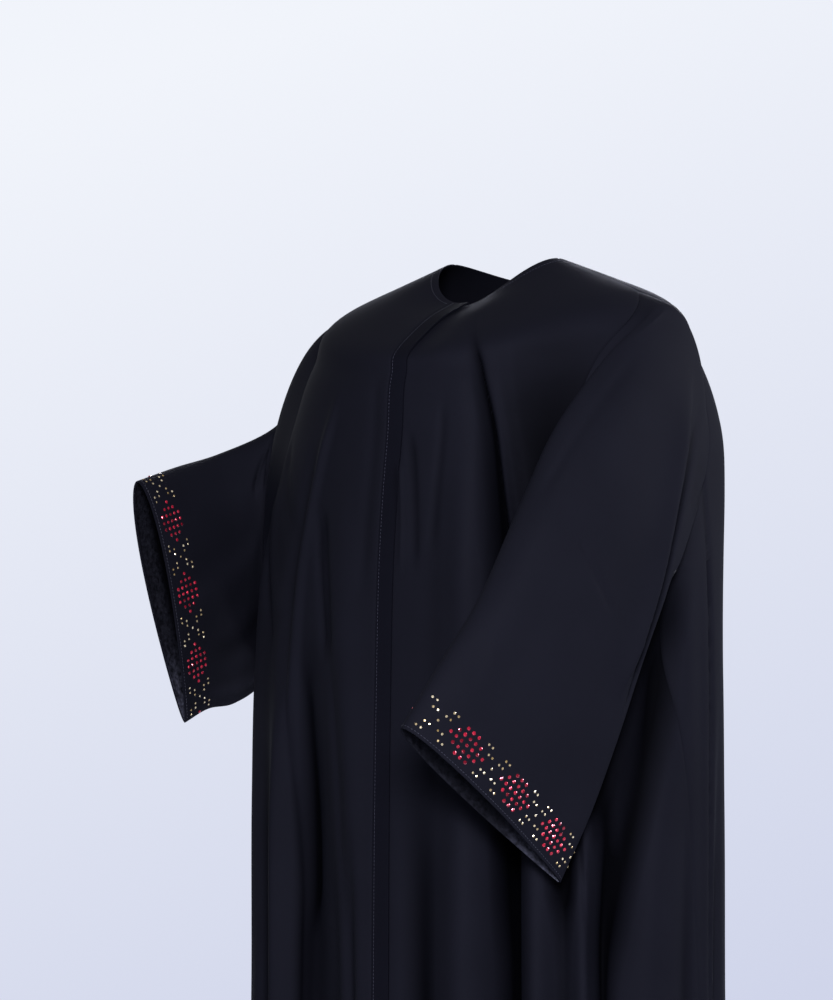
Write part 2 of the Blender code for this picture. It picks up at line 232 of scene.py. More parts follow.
# Columns: height, half_width, front_y, back_y, side_y, front_drop, back_drop.
SECTIONS = (
    (-1.420, 0.332, -0.274, 0.152, -0.062, 0.000, 0.000),
    (-1.150, 0.320, -0.266, 0.142, -0.062, 0.000, 0.000),
    (-0.900, 0.314, -0.262, 0.136, -0.062, 0.000, 0.000),
    (-0.650, 0.314, -0.260, 0.134, -0.062, 0.000, 0.000),
    (-0.500, 0.312, -0.257, 0.133, -0.058, 0.000, 0.000),
    (-0.360, 0.303, -0.252, 0.132, -0.050, 0.000, 0.000),
    (-0.280, 0.291, -0.245, 0.131, -0.043, -0.002, 0.000),
    (-0.200, 0.276, -0.236, 0.129, -0.034, -0.012, -0.002),
    (-0.120, 0.247, -0.229, 0.122, -0.022, -0.026, -0.012),
    (-0.045, 0.198, -0.200, 0.105, -0.010, -0.056, -0.032),
    (-0.022, 0.138, -0.156, 0.083, -0.012, -0.052, -0.031),
    (0.000, 0.078, -0.108, 0.055, -0.018, -0.055, -0.023),
)

# Columns: top_angle, hem_angle, half_width, height, top, reach. Angles are degrees round the body from
# the wearer's left side seam, with the centre front at -90.
FOLDS = (
    (-128.0, -122.0, 6.0, 0.010, -0.30, 0.35),
    (-116.0, -107.0, 7.0, -0.017, -0.34, 0.35),
    (-101.0, -95.0, 4.5, 0.009, -0.30, 0.45),
    (-82.0, -79.0, 4.0, -0.009, -0.45, 0.50),
    (-69.0, -70.0, 5.0, 0.013, -0.14, 0.30),
    (-61.0, -58.0, 3.6, -0.028, -0.14, 0.45),
    (-54.0, -52.0, 3.6, 0.013, -0.30, 0.60),
    (-47.0, -46.0, 3.2, -0.010, -0.50, 0.40),
    (-42.0, -41.5, 2.6, 0.010, -0.52, 0.30),
    (-36.0, -37.0, 3.2, -0.012, -0.55, 0.35),
    (-22.0, -24.0, 7.0, 0.005, -0.50, 0.40),
    (-9.0, -8.5, 4.0, -0.008, -0.50, 0.40),
    (-138.0, -136.0, 4.5, -0.009, -0.45, 0.40),
    (-150.0, -149.0, 6.5, 0.010, -0.16, 0.25),
    (-161.0, -162.0, 4.5, -0.014, -0.45, 0.40),
    (-170.0, -172.0, 4.5, 0.011, -0.45, 0.45),
    (178.0, 178.0, 4.0, -0.009, -0.50, 0.40),
    (170.0, 167.0, 5.0, 0.010, -0.48, 0.40),
    (157.0, 154.0, 4.5, -0.018, -0.30, 0.45),
    (143.0, 141.0, 6.0, 0.012, -0.26, 0.50),
    (131.0, 127.0, 4.0, -0.014, -0.24, 0.55),
    (114.0, 112.0, 6.5, 0.013, -0.20, 0.50),
    (99.0, 96.0, 4.8, -0.021, -0.16, 0.60),
    (83.0, 82.0, 5.5, 0.012, -0.20, 0.50),
    (70.0, 67.0, 4.0, -0.016, -0.22, 0.50),
    (54.0, 52.0, 6.0, 0.011, -0.24, 0.50),
    (42.0, 38.0, 4.4, -0.015, -0.28, 0.50),
    (27.0, 25.0, 5.5, 0.003, -0.34, 0.45),
    (12.0, 10.0, 3.8, -0.010, -0.45, 0.45),
)

# Broad, local forms: a hollow where the left sleeve lies, and the fullness behind each arm.
# Columns: angle, height, half_width, half_length, size.
LOCAL_FORMS = (
    (-40.0, -0.34, 20.0, 0.22, -0.036),
    (28.0, -0.21, 16.0, 0.14, 0.020),
    (152.0, -0.21, 16.0, 0.14, 0.012),
)

# The left side seam with the armhole's middle and the shoulder seam above it. Columns: height, angle.
LEFT_SEAM = (
    (-1.420, -1.0),
    (-0.960, -1.0),
    (-0.660, -7.0),
    (-0.360, -18.0),
    (-0.200, -12.0),
    (-0.045, -4.0),
    (0.000, 0.0),
)
print("rings:", len(SECTIONS), "long folds:", len(FOLDS))

# %% [markdown]
# ## Creases
# Long folds alone look drawn with a ruler. Real cloth also has short, soft troughs and ridges: drag
# lines that run from the armhole to the chest, dents where a sleeve touches the side, a slack diagonal
# between two folds. Others are crisp: the cloth rolls gently into them from one side and lies over them
# with a sharp edge from the other. A cloth simulation makes creases too, but not at the places where the
# photograph has them. So each is a row in a table: where it starts and ends, how wide it is to its two
# sides, how deep, and how far it bows. It is full in the middle and fades at both ends.

# %% Creases on the body
# Columns: start_angle, start_height, end_angle, end_height, left_width, right_width, depth, bow.
# Left is seen from outside, and a negative depth is a trough.
SOFT_BODY_CREASES = (
    # Right front: the slack diagonal, with a broad hollow on either side.
    (-112.0, -0.130, -122.5, -0.580, 0.010, 0.008, 0.0060, -0.006),
    (-119.0, -0.200, -126.0, -0.560, 0.016, 0.014, -0.0040, -0.004),
    (-113.0, -0.290, -107.0, -0.490, 0.010, 0.008, -0.0060, 0.004),
    (-118.0, -0.470, -117.5, -0.820, 0.014, 0.012, -0.0080, 0.002),
    (-122.5, -0.520, -121.5, -1.700, 0.012, 0.034, -0.0240, 0.000),
    (-127.0, -0.480, -126.5, -1.700, 0.010, 0.008, 0.0050, 0.000),
    (-105.0, -0.640, -105.0, -1.700, 0.016, 0.016, -0.0060, 0.000),
    (-106.5, -0.450, -97.5, -1.000, 0.008, 0.012, -0.0050, 0.006),
    (-98.5, -0.640, -97.5, -1.420, 0.010, 0.007, -0.0070, 0.000),
    (-105.0, -0.240, -103.5, -0.640, 0.018, 0.018, 0.0030, 0.006),
    (-97.5, -0.100, -97.0, -0.420, 0.010, 0.010, -0.0020, 0.004),
    # Left front: the highlight, small dents beside the band, the ridges under the cuff.
    (-68.5, -0.060, -68.5, -0.440, 0.026, 0.016, 0.0060, 0.000),
    (-76.0, -0.150, -78.0, -0.360, 0.006, 0.006, -0.0022, 0.000),
    (-86.5, -0.190, -82.5, -0.380, 0.006, 0.006, -0.0030, 0.004),
    (-88.5, -0.230, -86.5, -0.380, 0.004, 0.004, 0.0016, 0.003),
    (-80.0, -0.600, -79.5, -1.300, 0.022, 0.018, -0.0065, 0.000),
    (-68.5, -0.560, -68.0, -1.420, 0.024, 0.020, 0.0060, 0.000),
    (-49.5, -0.560, -49.0, -1.420, 0.018, 0.014, 0.0040, 0.000),
    (-35.5, -0.600, -35.5, -1.600, 0.010, 0.026, -0.0100, 0.000),
    (-14.0, -0.400, -37.5, -0.860, 0.030, 0.026, -0.0160, 0.000),
    # Left side, beyond the sleeve.
    (-23.0, -0.480, -23.0, -1.200, 0.030, 0.030, 0.0030, 0.000),
    (-2.0, -0.300, -1.0, -1.400, 0.016, 0.012, -0.0030, 0.000),
    # Back.
    (27.0, -0.220, 58.0, -0.310, 0.022, 0.022, -0.0040, -0.012),
    (30.0, -0.270, 48.0, -0.430, 0.015, 0.015, 0.0036, -0.012),
    (153.0, -0.220, 122.0, -0.310, 0.022, 0.022, -0.0040, 0.012),
    (154.0, -0.270, 133.0, -0.430, 0.015, 0.015, 0.0036, 0.012),
    (76.0, -0.250, 80.0, -0.640, 0.015, 0.015, -0.0030, 0.010),
    (105.0, -0.250, 103.0, -0.700, 0.014, 0.014, 0.0030, -0.010),
    (90.0, -0.560, 88.0, -1.120, 0.013, 0.013, 0.0030, 0.008),
    (60.0, -0.600, 63.0, -1.160, 0.012, 0.012, -0.0034, -0.008),
    (120.0, -0.620, 119.0, -1.240, 0.012, 0.012, -0.0034, 0.008),
    (147.0, -0.520, 149.0, -1.020, 0.011, 0.011, 0.0032, -0.006),
    (163.0, -0.640, 161.0, -1.180, 0.010, 0.010, -0.0028, 0.006),
    (33.0, -0.560, 31.0, -1.100, 0.011, 0.011, 0.0032, 0.006),
    (174.0, -0.560, 172.0, -1.080, 0.009, 0.009, 0.0026, 0.004),
    # Right side, and the drag lines from its armhole.
    (-146.0, -0.215, -122.0, -0.345, 0.020, 0.020, -0.0040, -0.012),
    (-147.0, -0.270, -128.0, -0.430, 0.015, 0.015, 0.0036, -0.012),
    (-149.0, -0.300, -134.0, -0.480, 0.012, 0.012, -0.0035, -0.008),
    (-155.0, -0.560, -156.0, -1.060, 0.011, 0.011, -0.0030, 0.006),
    (-143.0, -0.780, -142.0, -1.300, 0.011, 0.011, 0.0028, -0.006),
    (-133.0, -0.700, -131.0, -1.180, 0.010, 0.010, 0.0030, 0.006),
)
CRISP_BODY_CREASES = (
    # The long fold beside the left sleeve, from the chest to the hem.
    (-67.5, -0.020, -57.8, -0.560, 0.018, 0.004, -0.0180, 0.003),
    (-59.0, -0.360, -54.4, -1.700, 0.022, 0.003, -0.0320, -0.004),
    # The fold edge that comes out below the cuff, and the short tuck above it.
    (-41.0, -0.480, -39.5, -1.700, 0.012, 0.008, 0.0060, 0.000),
    (-44.5, -0.600, -40.5, -0.780, 0.004, 0.004, -0.0035, 0.002),
    # Fine edges on the right front and near the left side.
    (-123.5, -0.400, -124.0, -1.600, 0.003, 0.008, -0.0040, 0.000),
    (-114.5, -0.300, -109.0, -0.480, 0.006, 0.003, -0.0040, 0.002),
    (4.5, -0.100, 5.5, -1.700, 0.010, 0.003, -0.0050, 0.000),
    # The same kind of fold behind.
    (69.0, -0.120, 64.0, -1.900, 0.014, 0.004, -0.0080, 0.004),
    (99.0, -0.060, 95.0, -1.900, 0.004, 0.014, -0.0090, -0.004),
    (131.0, -0.200, 126.5, -1.900, 0.014, 0.004, -0.0080, 0.003),
    (-161.5, -0.500, -162.5, -1.700, 0.003, 0.012, -0.0080, 0.002),
)
print("creases on the body:", len(SOFT_BODY_CREASES), "soft,", len(CRISP_BODY_CREASES), "crisp")

# %% The height of a crease
# One degree round the body is about 4.5 mm of cloth. The powers give the creases their section.
RING_METRES = 0.0045
SOFT_POWER = 2.0
CRISP_BODY_POWER = 1.2
CRISP_SLEEVE_POWER = 1.5
# Above 1, a crease keeps its full depth along more of its length.
CREASE_FULLNESS = 1.6


def ease(t):
    """Zero below 0, one above 1, and a soft rise between."""
    t = np.clip(t, 0.0, 1.0)
    return t * t * (3.0 - 2.0 * t)


def crease_height(rows, across, along, power):
    """How far a table's creases lift the cloth, at places in metres. The lower the power, the crisper."""
    total = np.zeros_like(across)
    for start_across, start_along, end_across, end_along, left_width, right_width, depth, bow in rows:
        run = np.array((end_across - start_across, end_along - start_along))
        length = np.hypot(*run)
        run /= length
        beside = across - start_across
        below = along - start_along
        share = (beside * run[0] + below * run[1]) / length
        middle = np.sin(math.pi * np.clip(share, 0.0, 1.0))
        offset = np.sign(-run[1]) * (below * run[0] - beside * run[1]) - bow * middle
        width = np.where(offset < 0.0, left_width, right_width)
        total += depth * ease(CREASE_FULLNESS * middle) * np.exp(-np.abs(offset / width) ** power)
    return total


def body_creases(angle, height):
    """The body's creases, whose tables give places as angles and heights."""
    total = np.zeros_like(angle)
    for table, power in ((SOFT_BODY_CREASES, SOFT_POWER), (CRISP_BODY_CREASES, CRISP_BODY_POWER)):
        rows = [(a * RING_METRES, h, b * RING_METRES, k, *sizes) for a, h, b, k, *sizes in table]
        total += crease_height(rows, angle * RING_METRES, height, power)
    return total

# %% [markdown]
# ## From an angle and a height to a point
# Everything on the body is found from two numbers: an angle round the wearer and the height of the
# side seam. A smooth curve through the table gives the ring at any height. The folds and creases then
# push the point straight out of the ring. Whole arrays of places are worked out at once, because a
# loop over some hundred thousand points would take minutes.

# %% A smooth curve through a table
def smooth_curve(keys, values, at):
    """A smooth curve through rows of values, read at many places, slopes from the rows beside."""
    keys = np.asarray(keys, dtype=float)
    values = np.asarray(values, dtype=float)
    steps = np.diff(keys)
    slopes = np.diff(values, axis=0) / steps[:, None]
    tangents = np.empty_like(values)
    tangents[0] = slopes[0]
    tangents[-1] = slopes[-1]
    before = steps[:-1, None]
    after = steps[1:, None]
    tangents[1:-1] = (slopes[:-1] * after + slopes[1:] * before) / (before + after)
    at = np.atleast_1d(at)
    row = np.clip(np.searchsorted(keys, at) - 1, 0, len(steps) - 1)
    step = steps[row][:, None]
    t = np.clip((at - keys[row])[:, None] / step, 0.0, 1.0)
    return ((1.0 + 2.0 * t) * (1.0 - t) ** 2 * values[row] + t * t * (3.0 - 2.0 * t) * values[row + 1]
            + t * (1.0 - t) ** 2 * step * tangents[row] + t * t * (t - 1.0) * step * tangents[row + 1])


def distances(points, axis=0):
    """How far each place of a line or a grid lies from the first one, along an axis of the array."""
    steps = np.linalg.norm(np.diff(points, axis=axis), axis=-1)
    start = np.zeros_like(np.take(steps, [0], axis=axis))
    return np.concatenate((start, np.cumsum(steps, axis=axis)), axis=axis)

# %% Points of the body
def bump(distance, half_width):
    """A soft hump of height one, a half width to each side."""
    return np.exp(-(distance / half_width) ** 2)


def fold_height(angle, height):
    """How far the cloth stands out of its plain ring, from the folds and the local forms."""
    total = np.zeros_like(angle)
    for top_angle, hem_angle, half_width, fold_size, top, reach in FOLDS:
        strength = ease((top - height) / reach)
        along = np.clip((top - height) / (top - HEM_HEIGHT), 0.0, 1.0)
        middle = top_angle + (hem_angle - top_angle) * along
        distance = (angle - middle + 180.0) % 360.0 - 180.0
        total += fold_size * strength * bump(distance, half_width)
    for middle, middle_height, half_width, half_length, size in LOCAL_FORMS:
        total += size * bump(angle - middle, half_width) * bump(height - middle_height, half_length)
    return total


def body_points(angle, height):
    """Points of the garment's outer surface, for arrays of angles and side-seam heights."""
    shape = angle.shape
    angle = angle.ravel()
    height = height.ravel()
    table = np.array(SECTIONS)
    rings = smooth_curve(table[:, 0], table[:, 1:], height)
    half_width, front_y, back_y, side_y, front_drop, back_drop = rings.T
    across = np.cos(np.radians(angle))
    along = np.sin(np.radians(angle))
    in_front = along < 0.0
    depth = np.where(in_front, side_y - front_y, back_y - side_y)
    drop = np.where(in_front, front_drop, back_drop)
    points = np.stack((half_width * across, side_y + depth * along, height + drop * along ** 2), axis=1)
    outward = np.stack((across / half_width, along / depth, np.zeros_like(angle)), axis=1)
    outward /= np.linalg.norm(outward, axis=1, keepdims=True)
    lift = fold_height(angle, height) + body_creases(angle, height)
    return (points + outward * lift[:, None]).reshape(shape + (3,))


hem = body_points(np.linspace(-180.0, 180.0, 361), np.full(361, HEM_HEIGHT))
print("round the hem:", distances(hem)[-1].round(2), "m")

# %% Seams and armholes
# The solids stand a few tenths of a millimetre apart. Here the seams are almost closed, so that no
# light comes through them. The armhole reaches some way to the front and back of its middle.
SEAM_GAP = 0.00008
ARMHOLE_FRONT_TURN = 29.0
ARMHOLE_BACK_TURN = 24.0
ARMHOLE_ROUNDNESS = 0.75


def angle_at_x(x, height):
    """The angle at which a ring's front crosses a distance from the centre plane."""
    table = np.array(SECTIONS)
    half_width = smooth_curve(table[:, 0], table[:, 1:2], height)[:, 0]
    return -np.degrees(np.arccos(x / half_width))


def seam_angle(height, side):
    """The angle of a side seam, and above it of the armhole's middle and the shoulder seam."""
    if side < 0:
        return np.full_like(height, 180.0)
    table = np.array(LEFT_SEAM)
    return smooth_curve(table[:, 0], table[:, 1:], height)[:, 0]


def armhole_turn(height, reach):
    """How far the armhole edge lies from its middle, in degrees."""
    along = np.clip((height - UNDERARM_HEIGHT) / (SHOULDER_TIP_HEIGHT - UNDERARM_HEIGHT), 0.0, 1.0)
    return reach * np.sin(math.pi * along) ** ARMHOLE_ROUNDNESS


def seam_turn(height):
    """Half of the gap at a side or shoulder seam, as an angle."""
    table = np.array(SECTIONS)
    rings = smooth_curve(table[:, 0], table[:, 1:], height)
    return np.degrees(0.5 * SEAM_GAP / (rings[:, 3] - rings[:, 1]))


print("armhole:", ARMHOLE_FRONT_TURN + ARMHOLE_BACK_TURN, "degrees wide at its middle height")

# %% [markdown]
# ## Sheets of cloth
# A cloth piece starts as Blender's grid, with one vertex for each place on the sheet. Every vertex
# moves to its place, a tube's two ends are welded, and the whole grid is extruded straight in by the
# cloth's thickness, so that it is a closed wall. A Solidify modifier would do this too, but the cuffs
# need a wall that changes from place to place. The seam edges roll in a little: a stitched seam pulls
# the cloth down beside it, and this is what makes a seam show.

# %% Measures on a sheet
# A hollow is looked for at three sizes, and this slope of its sides counts as a deep one.
FOLD_REACHES = (0.010, 0.028, 0.055)
FOLD_SLOPE = 0.45


def sheet_normals(points, closed):
    """Unit normals of a grid of points, taken from the neighbours along and across."""
    up = np.gradient(points, axis=0)
    if closed:
        ring = points[:, :-1]
        across = np.roll(ring, -1, axis=1) - np.roll(ring, 1, axis=1)
        across = np.concatenate((across, across[:, :1]), axis=1)
    else:
        across = np.gradient(points, axis=1)
    normals = np.cross(across, up)
    return normals / np.linalg.norm(normals, axis=2, keepdims=True)


def fold_depth(points, normals, closed):
    """How deep each place lies between its neighbours across: 1 in a deep fold, -1 on a high ridge."""
    step = np.linalg.norm(np.diff(points, axis=1), axis=2).mean()
    count = points.shape[1]
    depth = np.zeros(points.shape[:2])
    for reach in FOLD_REACHES:
        places = np.arange(count)
        before = places - round(reach / step)
        after = places + round(reach / step)
        if closed:
            before, after = before % (count - 1), after % (count - 1)
        else:
            before, after = np.clip(before, 0, count - 1), np.clip(after, 0, count - 1)
        middle = 0.5 * (points[:, before] + points[:, after])
        depth += ((middle - points) * normals).sum(axis=2) / (FOLD_SLOPE * reach * len(FOLD_REACHES))
    return np.clip(depth, -1.0, 1.0)


def from_edge(points):
    """How far each place lies from the last row of a grid: from a panel's neck or a sleeve's cuff."""
    return distances(points[::-1])[::-1]


def from_side(points):
    """How far each place lies from the nearer side of a grid. A sleeve's is its hanging edge."""
    along = distances(points, axis=1)
    return np.minimum(along, along[:, -1:] - along)

# %% Making a cloth wall
CLOTH = 0.0012
WELD = 1e-6
SHARP_ANGLE = math.radians(50.0)


def cloth(name, points, normals, materials, thickness=CLOTH, closed=False):
    """A cloth wall from a grid of outer points and the normals there. Its UV map is in metres.

    thickness is one value, or one for each place. The wall keeps its measures as attributes:
    fold_depth, top_edge for the distance from the last row, and side_edge for that from the side.
    """
    rows = points.shape[0] - 1
    columns = points.shape[1] - 1
    mesh = bmesh.new()
    bmesh.ops.create_grid(mesh, x_segments=columns, y_segments=rows, size=0.5)
    inward = mesh.verts.layers.float_vector.new("inward")
    measures = {"fold_depth": fold_depth(points, normals, closed), "top_edge": from_edge(points),
                "side_edge": from_side(points)}
    layers = [(mesh.verts.layers.float.new(measure), values) for measure, values in measures.items()]
    thickness = np.broadcast_to(thickness, points.shape[:2])
    metres = mesh.loops.layers.uv.new("cloth_metres")
    width = distances(points[rows // 2])[-1]
    length = distances(points[:, columns // 2])[-1]
    for face in mesh.faces:
        for loop in face.loops:
            place = loop.vert.co
            loop[metres].uv = ((place.x + 0.5) * width, (place.y + 0.5) * length)
    for vertex in mesh.verts:
        column = round((vertex.co.x + 0.5) * columns)
        row = round((vertex.co.y + 0.5) * rows)
        vertex.co = points[row, column]
        vertex[inward] = normals[row, column] * -thickness[row, column]
        for layer, values in layers:
            vertex[layer] = values[row, column]
    if closed:
        bmesh.ops.remove_doubles(mesh, verts=mesh.verts, dist=WELD)
    outer = mesh.faces[:]
    wall = bmesh.ops.extrude_face_region(mesh, geom=outer)
    for element in wall["geom"]:
        if isinstance(element, bmesh.types.BMVert):
            element.co += element[inward]
        elif isinstance(element, bmesh.types.BMFace):
            element.material_index = 1
    bmesh.ops.recalc_face_normals(mesh, faces=mesh.faces)
    data = bpy.data.meshes.new(name)
    mesh.to_mesh(data)
    mesh.free()
    data.shade_smooth()
    data.set_sharp_from_angle(angle=SHARP_ANGLE)
    piece = bpy.data.objects.new(name, data)
    bpy.context.scene.collection.objects.link(piece)
    for material in materials:
        data.materials.append(material)
    return piece

# %% Seam edges
# How deep the cloth is pulled in at a seam and how far from it, and where the columns lie there.
SEAM_ROLL = 0.0005
SEAM_ROLL_WIDTH = 0.0035
CLOSE_STEPS = np.array((0.0, 0.18, 0.45))


def even_steps(count, width):
    """Places from 0 to 1 across a sheet of a given width, closer together at both edges."""
    edge = SEAM_ROLL_WIDTH / width
    near = CLOSE_STEPS * edge
    inner = np.linspace(edge, 1.0 - edge, count + 1 - 2 * len(near))
    return np.concatenate((near, inner, 1.0 - near[::-1]))


def roll_edges(points, normals, edges):
    """Sinks the cloth next to the named edges of a grid, left, right or bottom, as a seam does."""
    sunk = np.zeros(points.shape[:2])
    for edge in edges:
        axis = 0 if edge == "bottom" else 1
        lines = points[:, ::-1] if edge == "right" else points
        depth = SEAM_ROLL * (1.0 - ease(distances(lines, axis) / SEAM_ROLL_WIDTH))
        sunk = np.maximum(sunk, depth[:, ::-1] if edge == "right" else depth)
    return points - normals * sunk[:, :, None]

# %% Attaching a sheet
def dress(piece, node):
    """The piece rides on the body and stands for its solid, which is hidden.
    """
    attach(piece, "root")
    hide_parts(node)
    print(piece.name, "faces:", len(piece.data.polygons))
    return piece

# %% [markdown]
# ## The fronts, the band and the back
# The two fronts and the back run from the hem to the neck. Each is cut from the body's surface between
# two edges. A front runs from its side seam, which becomes the armhole's edge higher up, to the centre,
# and the back from one side seam to the other. They could also be cut out of one closed body with
# bisect_plane, but a real seam isn't straight, and the rows of a grid follow it. The band carries on the
# right front's surface and laps over the left front, whose edge lies a few millimetres deeper.

# %% Rows of the body
ROW_STEP = 0.0092
ARMHOLE_ROW_STEP = 0.005
SHOULDER_ROWS = 26
FRONT_COLUMNS = 200
BACK_COLUMNS = 188
BAND_COLUMNS = 10


def row_heights():
    """Side-seam heights of the rows, from hem to neck, closer beside the armhole and the shoulder."""
    below = round((UNDERARM_HEIGHT - HEM_HEIGHT) / ROW_STEP)
    beside = round((SHOULDER_TIP_HEIGHT - UNDERARM_HEIGHT) / ARMHOLE_ROW_STEP)
    lower = np.linspace(HEM_HEIGHT, UNDERARM_HEIGHT, below + 1)
    armhole = np.linspace(UNDERARM_HEIGHT, SHOULDER_TIP_HEIGHT, beside + 1)
    shoulder = np.linspace(SHOULDER_TIP_HEIGHT, NECK_HEIGHT, SHOULDER_ROWS + 1)
    return np.concatenate((lower, armhole[1:], shoulder[1:]))


HEIGHTS = row_heights()
print("rows of the body:", len(HEIGHTS))

# %% Grids of the panels
# Where the band's two edges and the left front's hidden edge lie beside the centre plane, and how much
# deeper that edge lies. The widths are rough ones, which only space the columns.
BAND_SEAM_X = -0.013
BAND_EDGE_X = 0.010
UNDERLAP_X = -0.008
UNDERLAP_DROP = 0.0036
UNDERLAP_RISE = 0.050
FRONT_WIDTH = 0.4
BACK_WIDTH = 0.7
BAND_WIDTH = BAND_EDGE_X - BAND_SEAM_X


def panel_grid(first, last, columns, width):
    """Angles and heights of a panel between two edges, given as an angle for each row."""
    share = even_steps(columns, width)
    angle = first[:, None] + (last - first)[:, None] * share[None, :]
    return angle, np.repeat(HEIGHTS[:, None], columns + 1, axis=1)


def front_right_grid():
    """From the right side seam to the band's seam."""
    side = -180.0 + armhole_turn(HEIGHTS, ARMHOLE_FRONT_TURN) + seam_turn(HEIGHTS)
    seam = angle_at_x(BAND_SEAM_X - 0.5 * SEAM_GAP, HEIGHTS)
    angle, height = panel_grid(side, seam, FRONT_COLUMNS, FRONT_WIDTH)
    points = body_points(angle, height)
    normals = sheet_normals(points, False)
    return roll_edges(points, normals, ("left", "right")), normals


def front_left_grid():
    """From the edge under the band, which lies deeper, to the left side seam."""
    side = seam_angle(HEIGHTS, 1) - armhole_turn(HEIGHTS, ARMHOLE_FRONT_TURN) - seam_turn(HEIGHTS)
    angle, height = panel_grid(angle_at_x(UNDERLAP_X, HEIGHTS), side, FRONT_COLUMNS, FRONT_WIDTH)
    points = body_points(angle, height)
    normals = sheet_normals(points, False)
    deeper = UNDERLAP_DROP * (1.0 - ease((points[:, :, 0] - BAND_EDGE_X) / UNDERLAP_RISE))
    points = points - normals * deeper[:, :, None]
    return roll_edges(points, normals, ("right",)), normals


def back_grid():
    """From the left side seam round the back to the right one."""
    edge = armhole_turn(HEIGHTS, ARMHOLE_BACK_TURN) + seam_turn(HEIGHTS)
    left, right = seam_angle(HEIGHTS, 1) + edge, seam_angle(HEIGHTS, -1) - edge
    angle, height = panel_grid(left, right, BACK_COLUMNS, BACK_WIDTH)
    points = body_points(angle, height)
    normals = sheet_normals(points, False)
    return roll_edges(points, normals, ("left", "right")), normals


def band_grid():
    """From the band's seam to its free edge."""
    seam = angle_at_x(BAND_SEAM_X + 0.5 * SEAM_GAP, HEIGHTS)
    angle, height = panel_grid(seam, angle_at_x(BAND_EDGE_X, HEIGHTS), BAND_COLUMNS, BAND_WIDTH)
    points = body_points(angle, height)
    return points, sheet_normals(points, False)


GRIDS = {"front_right": front_right_grid(), "front_left": front_left_grid(), "back": back_grid(),
         "front_band": band_grid()}
print("rows and columns of places:", {node: points.shape[:2] for node, (points, _) in GRIDS.items()})

# %% Panels and band
# Each panel's size laid flat, and its area.
PANEL_CUTS = {"front_right": ((0.47, 1.36), 0.60), "front_left": ((0.50, 1.36), 0.64),
              "back": ((0.92, 1.42), 1.16)}
BAND_THICKNESS = 0.0022

panels = []
for node, (flat, area) in PANEL_CUTS.items():
    piece = cloth("cloth_" + node, *GRIDS[node], (CREPE_FACE, CREPE_BACK))
    panels.append(dress(piece, node))
band = cloth("placket_band", *GRIDS["front_band"], (CREPE_BAND_PAINTED_SHADE, CREPE_BACK), BAND_THICKNESS)
dress(band, "front_band")

# %% [markdown]
# ## The sleeves
# Each sleeve is a tube that starts on the armhole and runs along the arm through a few rings. Sweeping
# one outline along a path would be quicker, but no two sections of a hanging sleeve are alike. A ring is
# an upright lens: full over the arm, thin where the cloth hangs. Creases follow the sleeve the same way
# as on the body, placed by how far round they are, in degrees from the hanging edge, and by their share
# of the way from the armhole to the cuff.

# %% Tables of the sleeves
# One row a ring, from the armhole to the cuff: its highest and lowest place, how far it swells out above
# and below, and the angle that its outer side faces.
# Columns: top_x, top_y, top_z, low_x, low_y, low_z, swell_top, swell_low, facing.
SLEEVE_LEFT_STATIONS = (
    (0.240, -0.034, -0.066, 0.305, -0.118, -0.368, 0.074, 0.036, 76.0),
    (0.242, -0.114, -0.112, 0.301, -0.131, -0.387, 0.062, 0.032, 52.0),
    (0.227, -0.205, -0.196, 0.298, -0.141, -0.417, 0.054, 0.030, 16.0),
    (0.214, -0.266, -0.283, 0.292, -0.163, -0.473, 0.050, 0.028, -8.0),
    (0.198, -0.336, -0.400, 0.274, -0.192, -0.570, 0.046, 0.024, -16.0),
    (0.180, -0.386, -0.470, 0.255, -0.210, -0.642, 0.042, 0.020, -20.0),
    (0.164, -0.430, -0.534, 0.234, -0.236, -0.714, 0.036, 0.016, -20.0),
)
SLEEVE_RIGHT_STATIONS = (
    (-0.252, -0.014, -0.064, -0.340, -0.036, -0.372, 0.086, 0.052, 96.0),
    (-0.338, 0.018, -0.134, -0.374, -0.018, -0.452, 0.070, 0.040, 88.0),
    (-0.408, 0.018, -0.198, -0.410, 0.000, -0.530, 0.058, 0.030, 56.0),
    (-0.436, -0.052, -0.230, -0.422, -0.040, -0.554, 0.050, 0.026, 24.0),
    (-0.440, -0.130, -0.248, -0.420, -0.092, -0.558, 0.044, 0.022, 14.0),
    (-0.432, -0.210, -0.266, -0.418, -0.138, -0.573, 0.036, 0.016, 12.0),
)

# %% Creases on the sleeves
# Columns: start_round, start_share, end_round, end_share, left_width, right_width, depth, bow. Round
# is in degrees from the hanging edge, and a share is of the way from the armhole to the cuff.
SOFT_LEFT_CREASES = (
    # The valley behind the long fold, and soft unevenness of the outer layer.
    (250.0, 0.10, 338.0, 0.66, 0.010, 0.014, -0.0080, 0.048),
    (216.0, 0.20, 212.0, 0.80, 0.030, 0.030, 0.0040, 0.000),
    (240.0, 0.40, 232.0, 1.05, 0.020, 0.020, -0.0020, 0.006),
    (286.0, 0.60, 270.0, 1.10, 0.024, 0.024, 0.0024, 0.008),
    (196.0, 0.20, 196.0, 0.50, 0.010, 0.010, -0.0018, 0.004),
    (204.0, 0.76, 222.0, 0.86, 0.008, 0.008, -0.0007, 0.002),
    (212.0, 0.74, 234.0, 0.84, 0.008, 0.008, 0.0006, 0.002),
    # The side towards the body.
    (150.0, 0.20, 132.0, 0.50, 0.012, 0.012, -0.0036, 0.006),
    (120.0, 0.30, 100.0, 0.62, 0.012, 0.012, 0.0032, 0.006),
    (60.0, 0.20, 52.0, 0.70, 0.012, 0.012, -0.0036, 0.006),
    (30.0, 0.25, 28.0, 0.80, 0.010, 0.010, 0.0034, 0.004),
)
